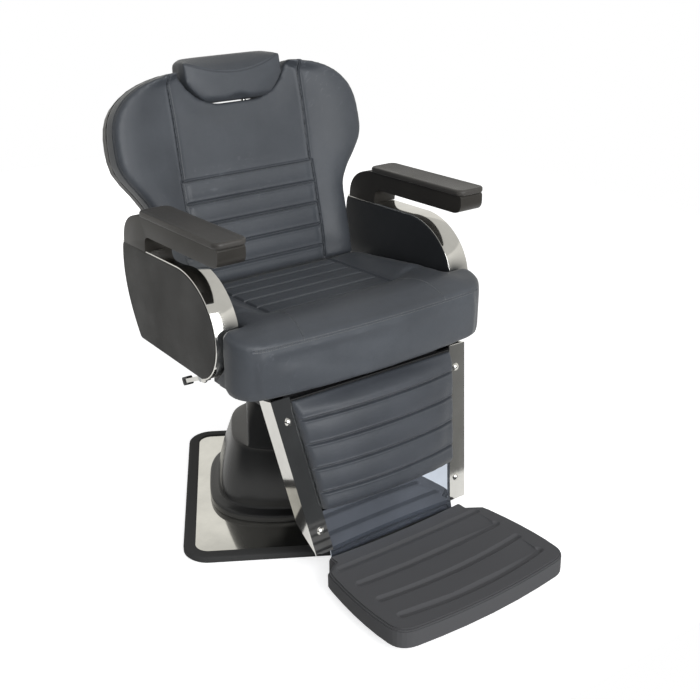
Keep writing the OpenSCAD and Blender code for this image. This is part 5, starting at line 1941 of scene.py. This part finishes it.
@dataclass
class ColumnCover:
    """Glossy moulded cover over the pump, with a foot flange and two end ledges."""

    turn: float = -30.5
    length: float = 428.0
    depth: float = 340.0
    shift: float = 30.0
    top: float = 285.0
    ledge: float = 171.0
    turret: float = 281.0
    flange: float = 31.0
    flange_out: float = 20.0
    flange_deep: float = 18.0
    deck: float = 13.0
    end_taper: float = 37.0
    front_taper: float = 27.0
    rear_taper: float = 46.0
    power: float = 3.4
    flange_power: float = 3.2
    hole: float = 59.5
    count: int = 144

    def ring(self, a: float, b: float, v: float, z: float, power: float, clamp: float = FAR) -> np.ndarray:
        """Returns one ring of the cover in metres.

        Args:
            a: half length.
            b: half depth.
            v: distance of its middle behind the column axis.
            z: height.
            power: roundness in plan.
            clamp: half length at which the ends are cut flat.

        Returns:
            Points of the ring in the chair's frame.
        """
        t = np.arange(self.count) * 2 * np.pi / self.count
        c, s = np.cos(t), np.sin(t)
        u = np.clip(a * np.sign(c) * np.abs(c) ** (2 / power), -clamp, clamp)
        w = v + b * np.sign(s) * np.abs(s) ** (2 / power)
        k, m = math.cos(math.radians(self.turn)), math.sin(math.radians(self.turn))
        return np.stack([u * k - w * m, u * m + w * k, np.full(len(u), z)], -1) * MM

    def body(self, z: float, clamp: float = FAR, g: float = 0.0) -> np.ndarray:
        """Works out one ring of the tapering body.

        Args:
            z: height.
            clamp: half length at which the ends are cut flat.
            g: how far the ring is drawn in.

        Returns:
            Points of the ring in the chair's frame.
        """
        t = max(0.0, (z - self.flange) / (self.ledge - self.flange))
        a = max(self.length / 2 - self.end_taper * t ** 1.35, self.turret / 2 - 2)
        front = self.shift - self.depth / 2 + self.front_taper * t ** 1.3
        rear = self.shift + self.depth / 2 - self.rear_taper * t ** 1.2
        return self.ring(a - g, (rear - front) / 2 - g, (front + rear) / 2, z, self.power, clamp - g)

    def rings(self) -> list[np.ndarray]:
        """Returns the rings from the flange over the ledges to the hole in the top."""
        half, deep = self.length / 2 + self.flange_out, self.depth / 2 + self.flange_deep
        v = self.shift - 8
        cut, ledge, foot, top = self.turret / 2, self.ledge, self.flange, self.top
        flange = (
            (0.5, self.deck + 0.2), (0, self.deck + 1.5), (0, foot - 4),
            (1, foot - 1.6), (3, foot - 0.2), (5, foot),
        )
        return (
            [self.ring(half - g, deep - g, v, z, self.flange_power) for g, z in flange]
            + [self.body(foot + up, g=g) for up, g in ((0.2, -2.5), (1.2, -0.8), (3.5, 0.0))]
            + [self.body(z) for z in np.linspace(foot + 10, ledge - 3, 14)]
            + [self.body(ledge - 1, g=0.5), self.body(ledge, g=2.0)]
            + [self.body(ledge + 0.1, cut + 2.5, 0.1), self.body(ledge + 1.2, cut + 0.6, 0.1)]
            + [self.body(ledge + 3.5, cut)]
            + [self.body(z, cut) for z in np.linspace(ledge + 12, top - 9, 10)]
            + [self.body(top - down, cut, g) for down, g in ((5, 0.8), (2, 2.8), (0.3, 6.0))]
            + [self.ring(self.hole, self.hole, 0.0, z, 2.0) for z in (top, top - 8)]
        )

    def build(self) -> None:
        """Makes the cover by extruding ring after ring from its foot."""
        rings = self.rings()
        piece = Bench.outline("glossy_cover", rings[0], filled=False)
        for number, ring in enumerate(rings[1:], 1):
            with Bench.edit(piece) as mesh:
                mesh.verts.ensure_lookup_table()
                for vertex in mesh.verts[(number - 1) * self.count:]:
                    vertex.select_set(True)
                mesh.select_flush(True)
                bmesh.update_edit_mesh(piece.data)
                bpy.ops.mesh.extrude_edges_move()
            co = coords(piece)
            co[number * self.count:] = ring
            move(piece, co)
        with Bench.edit(piece):
            bpy.ops.mesh.select_all(action="SELECT")
            bpy.ops.mesh.normals_make_consistent(inside=False)
        wall = piece.data.polygons[len(piece.data.polygons) // 2]
        if wall.normal.dot(wall.center) < 0:
            piece.data.flip_normals()
        Bench.modify(piece, "SOLIDIFY", thickness=3.0 * MM, offset=-1.0)
        Bench.shade(piece, 32)
        coat(piece, COVER_GLOSS)
        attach(piece, "base")
        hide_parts("column_cover")
        log.info("glossy_cover: %d faces", len(piece.data.polygons))


# --------------------------------------------------------------------- studio


@dataclass
class Studio:
    """Pale floor, soft light and the camera.

    The room is what polished pieces mirror: dark on the camera's side up to a height, with
    a darker ceiling, grey ground on the far side and pale walls elsewhere. Each fade runs
    between two values of a direction's height or of its share towards the camera.
    """

    eye: tuple[float, float, float] = (-1.28, -1.89695, 1.37227)
    azimuth: float = -36.5
    elevation: float = 23.83
    lens: float = 56.615
    pale_room: Colour = (0.78, 0.77, 0.73)
    dark_room: Colour = (0.055, 0.058, 0.062)
    pale_ground: Colour = (0.66, 0.65, 0.61)
    side_fade: Point = (-0.25, 0.35)
    wall_fade: Point = (0.50, 0.10)
    ground_fade: Point = (-0.06, -0.16)
    roof_fade: Point = (0.545, 0.575)
    roof_share: float = 0.30
    fill: float = 0.31
    floor_size: float = 4.2
    floor_middle: tuple[float, float, float] = (0.5, 1.22, -0.0005)

    def camera(self) -> None:
        """Makes the camera."""
        data = bpy.data.cameras.new("camera")
        data.lens, data.sensor_width = self.lens, 36.0
        data.clip_start, data.clip_end = 0.05, 60.0
        eye = bpy.data.objects.new("camera", data)
        eye.location = self.eye
        eye.rotation_euler = (math.radians(90 - self.elevation), 0.0, math.radians(self.azimuth))
        bpy.context.scene.collection.objects.link(eye)
        bpy.context.scene.camera = eye

    @staticmethod
    def lamp(
        name: str, place: Sequence[float], size: float, power: float, colour: Colour, mirrored: bool = True
    ) -> None:
        """Adds a square soft lamp that faces the chair.

        Args:
            name: name of the lamp.
            place: its place in metres.
            size: side of the square in metres.
            power: its power in watts.
            colour: its colour.
            mirrored: false for a lamp that polished pieces don't mirror.
        """
        data = bpy.data.lights.new(name, "AREA")
        data.shape, data.size, data.energy, data.color = "SQUARE", size, power, colour
        lamp = bpy.data.objects.new(name, data)
        lamp.location = place
        lamp.rotation_euler = (Vector((0, 0, 0.5)) - Vector(place)).to_track_quat("-Z", "Y").to_euler()
        lamp.visible_glossy = mirrored
        bpy.context.scene.collection.objects.link(lamp)

    def world(self) -> None:
        """Makes the surroundings: even light, white behind, darker room in reflections."""
        made = bpy.data.worlds.new("studio")
        bpy.context.scene.world = made
        made.use_nodes = True
        made.node_tree.nodes.clear()
        sheet = Sheet(made.node_tree)
        way = sheet.node("TexCoord").outputs["Generated"]
        a = math.radians(self.azimuth)
        facing = {0: way, 1: (math.sin(a), -math.cos(a), 0.0)}
        ahead = sheet.node("VectorMath", facing, operation="DOT_PRODUCT").outputs["Value"]
        up = sheet.node("SeparateXYZ", {0: way}).outputs["Z"]
        near = sheet.ramp(ahead, *self.side_fade)
        wall = sheet.maths("MULTIPLY", near, sheet.ramp(up, *self.wall_fade))
        roof = sheet.maths("MULTIPLY", sheet.ramp(up, *self.roof_fade), self.roof_share)
        far = sheet.maths("SUBTRACT", 1.0, near)
        ground = sheet.maths("MULTIPLY", sheet.ramp(up, *self.ground_fade), far)
        room = sheet.blend(sheet.maths("MAXIMUM", wall, roof), self.pale_room, self.dark_room)
        seen = sheet.blend(ground, room, self.pale_ground)
        plain = sheet.node("Background", {"Color": (0.97, 0.98, 1.0, 1.0), "Strength": self.fill})
        mirrored = sheet.node("Background", {"Color": seen, "Strength": 1.0})
        white = sheet.node("Background", {"Color": (1.0, 1.0, 1.0, 1.0), "Strength": 1.0})
        sheet.node("OutputWorld", {0: self.by_ray(sheet, plain, mirrored, white)})

    @staticmethod
    def by_ray(
        sheet: Sheet, plain: Node, mirrored: Node, seen: Node
    ) -> Socket:
        """Chooses a shader by the kind of ray.

        Args:
            sheet: the node tree.
            plain: the shader that lights the chair.
            mirrored: the shader that polished pieces mirror.
            seen: the shader that the camera sees.

        Returns:
            The chosen shader.
        """
        path = sheet.node("LightPath").outputs
        choice = {0: path["Is Glossy Ray"], 1: plain.outputs[0], 2: mirrored.outputs[0]}
        first = sheet.node("MixShader", choice).outputs[0]
        choice = {0: path["Is Camera Ray"], 1: first, 2: seen.outputs[0]}
        return sheet.node("MixShader", choice).outputs[0]

    def floor(self) -> None:
        """Makes the pale floor."""
        Bench.clear()
        bpy.ops.mesh.primitive_plane_add(size=self.floor_size, location=self.floor_middle)
        ground = bpy.context.object
        ground.name = ground.data.name = "floor"
        bpy.ops.object.transform_apply(location=True, rotation=False, scale=True)
        made = bpy.data.materials.new("pale_floor")
        made.use_nodes = True
        made.node_tree.nodes.clear()
        sheet = Sheet(made.node_tree)
        plain = sheet.node("BsdfDiffuse", {"Color": (0.50, 0.50, 0.49, 1.0)})
        seen = sheet.node("BsdfDiffuse", {"Color": (0.80, 0.80, 0.80, 1.0)})
        glow = sheet.node("Emission", {"Color": (1.0, 1.0, 1.0, 1.0), "Strength": 0.72})
        bright = sheet.node("AddShader", {0: seen.outputs[0], 1: glow.outputs[0]})
        soft = sheet.node("Emission", {"Color": (1.0, 0.99, 0.96, 1.0), "Strength": 0.50})
        mirrored = sheet.node("AddShader", {0: plain.outputs[0], 1: soft.outputs[0]})
        sheet.node("OutputMaterial", {0: self.by_ray(sheet, plain, mirrored, bright)})
        ground.data.materials.append(made)

    def build(self) -> None:
        """Makes the floor, the light and the camera."""
        self.camera()
        self.world()
        self.floor()
        self.lamp("front", (-0.25, -3.2, 1.7), 2.7, 111.0, (0.97, 0.985, 1.0))
        self.lamp("rear", (0.5, 3.2, 1.3), 2.4, 34.0, (1.0, 0.99, 0.97), mirrored=False)
        bpy.context.scene.view_settings.view_transform = "Standard"


# ----------------------------------------------------------------------- main


def dress_nodes(nodes: dict[str, Piece]) -> None:
    """Gives every CAD node its finish.

    Args:
        nodes: the frame's nodes by name.
    """
    for finish, names in FINISHED.items():
        for name in names:
            coat(nodes[name], finish)
        log.info("%s: %d nodes", finish.name, len(names))


def main() -> None:
    """Builds the whole look of the chair."""
    logging.basicConfig(level=logging.INFO, format="%(name)s: %(message)s")
    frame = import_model()
    dress_nodes(frame["nodes"])
    ColumnCover().build()
    Arms().build()
    GapShadeStrip().build()
    SeatCushion("padded_seat", "seat_cushion", "seat", UPRIGHT, 0.8).build()
    BackCushion("padded_back", "back_cushion", "back", BACK, 0.8, swell=4.5).build()
    # The calf pad's darker finish is painted shade, not a different hide.
    CalfPad(
        "padded_calf", "calf_pad", "legrest", LEG, 0.8, voxel=4.5, swell=4.0, pitch=54.0,
        finish=CALF_HIDE_PAINTED_SHADE, straight_sides=True,
    ).build()
    HeadrestPillow("padded_headrest", "headrest_pillow", "headrest", BACK, 0.85, voxel=4.0, swell=4.0).build()
    Studio().build()


if __name__ == "__main__":
    main()
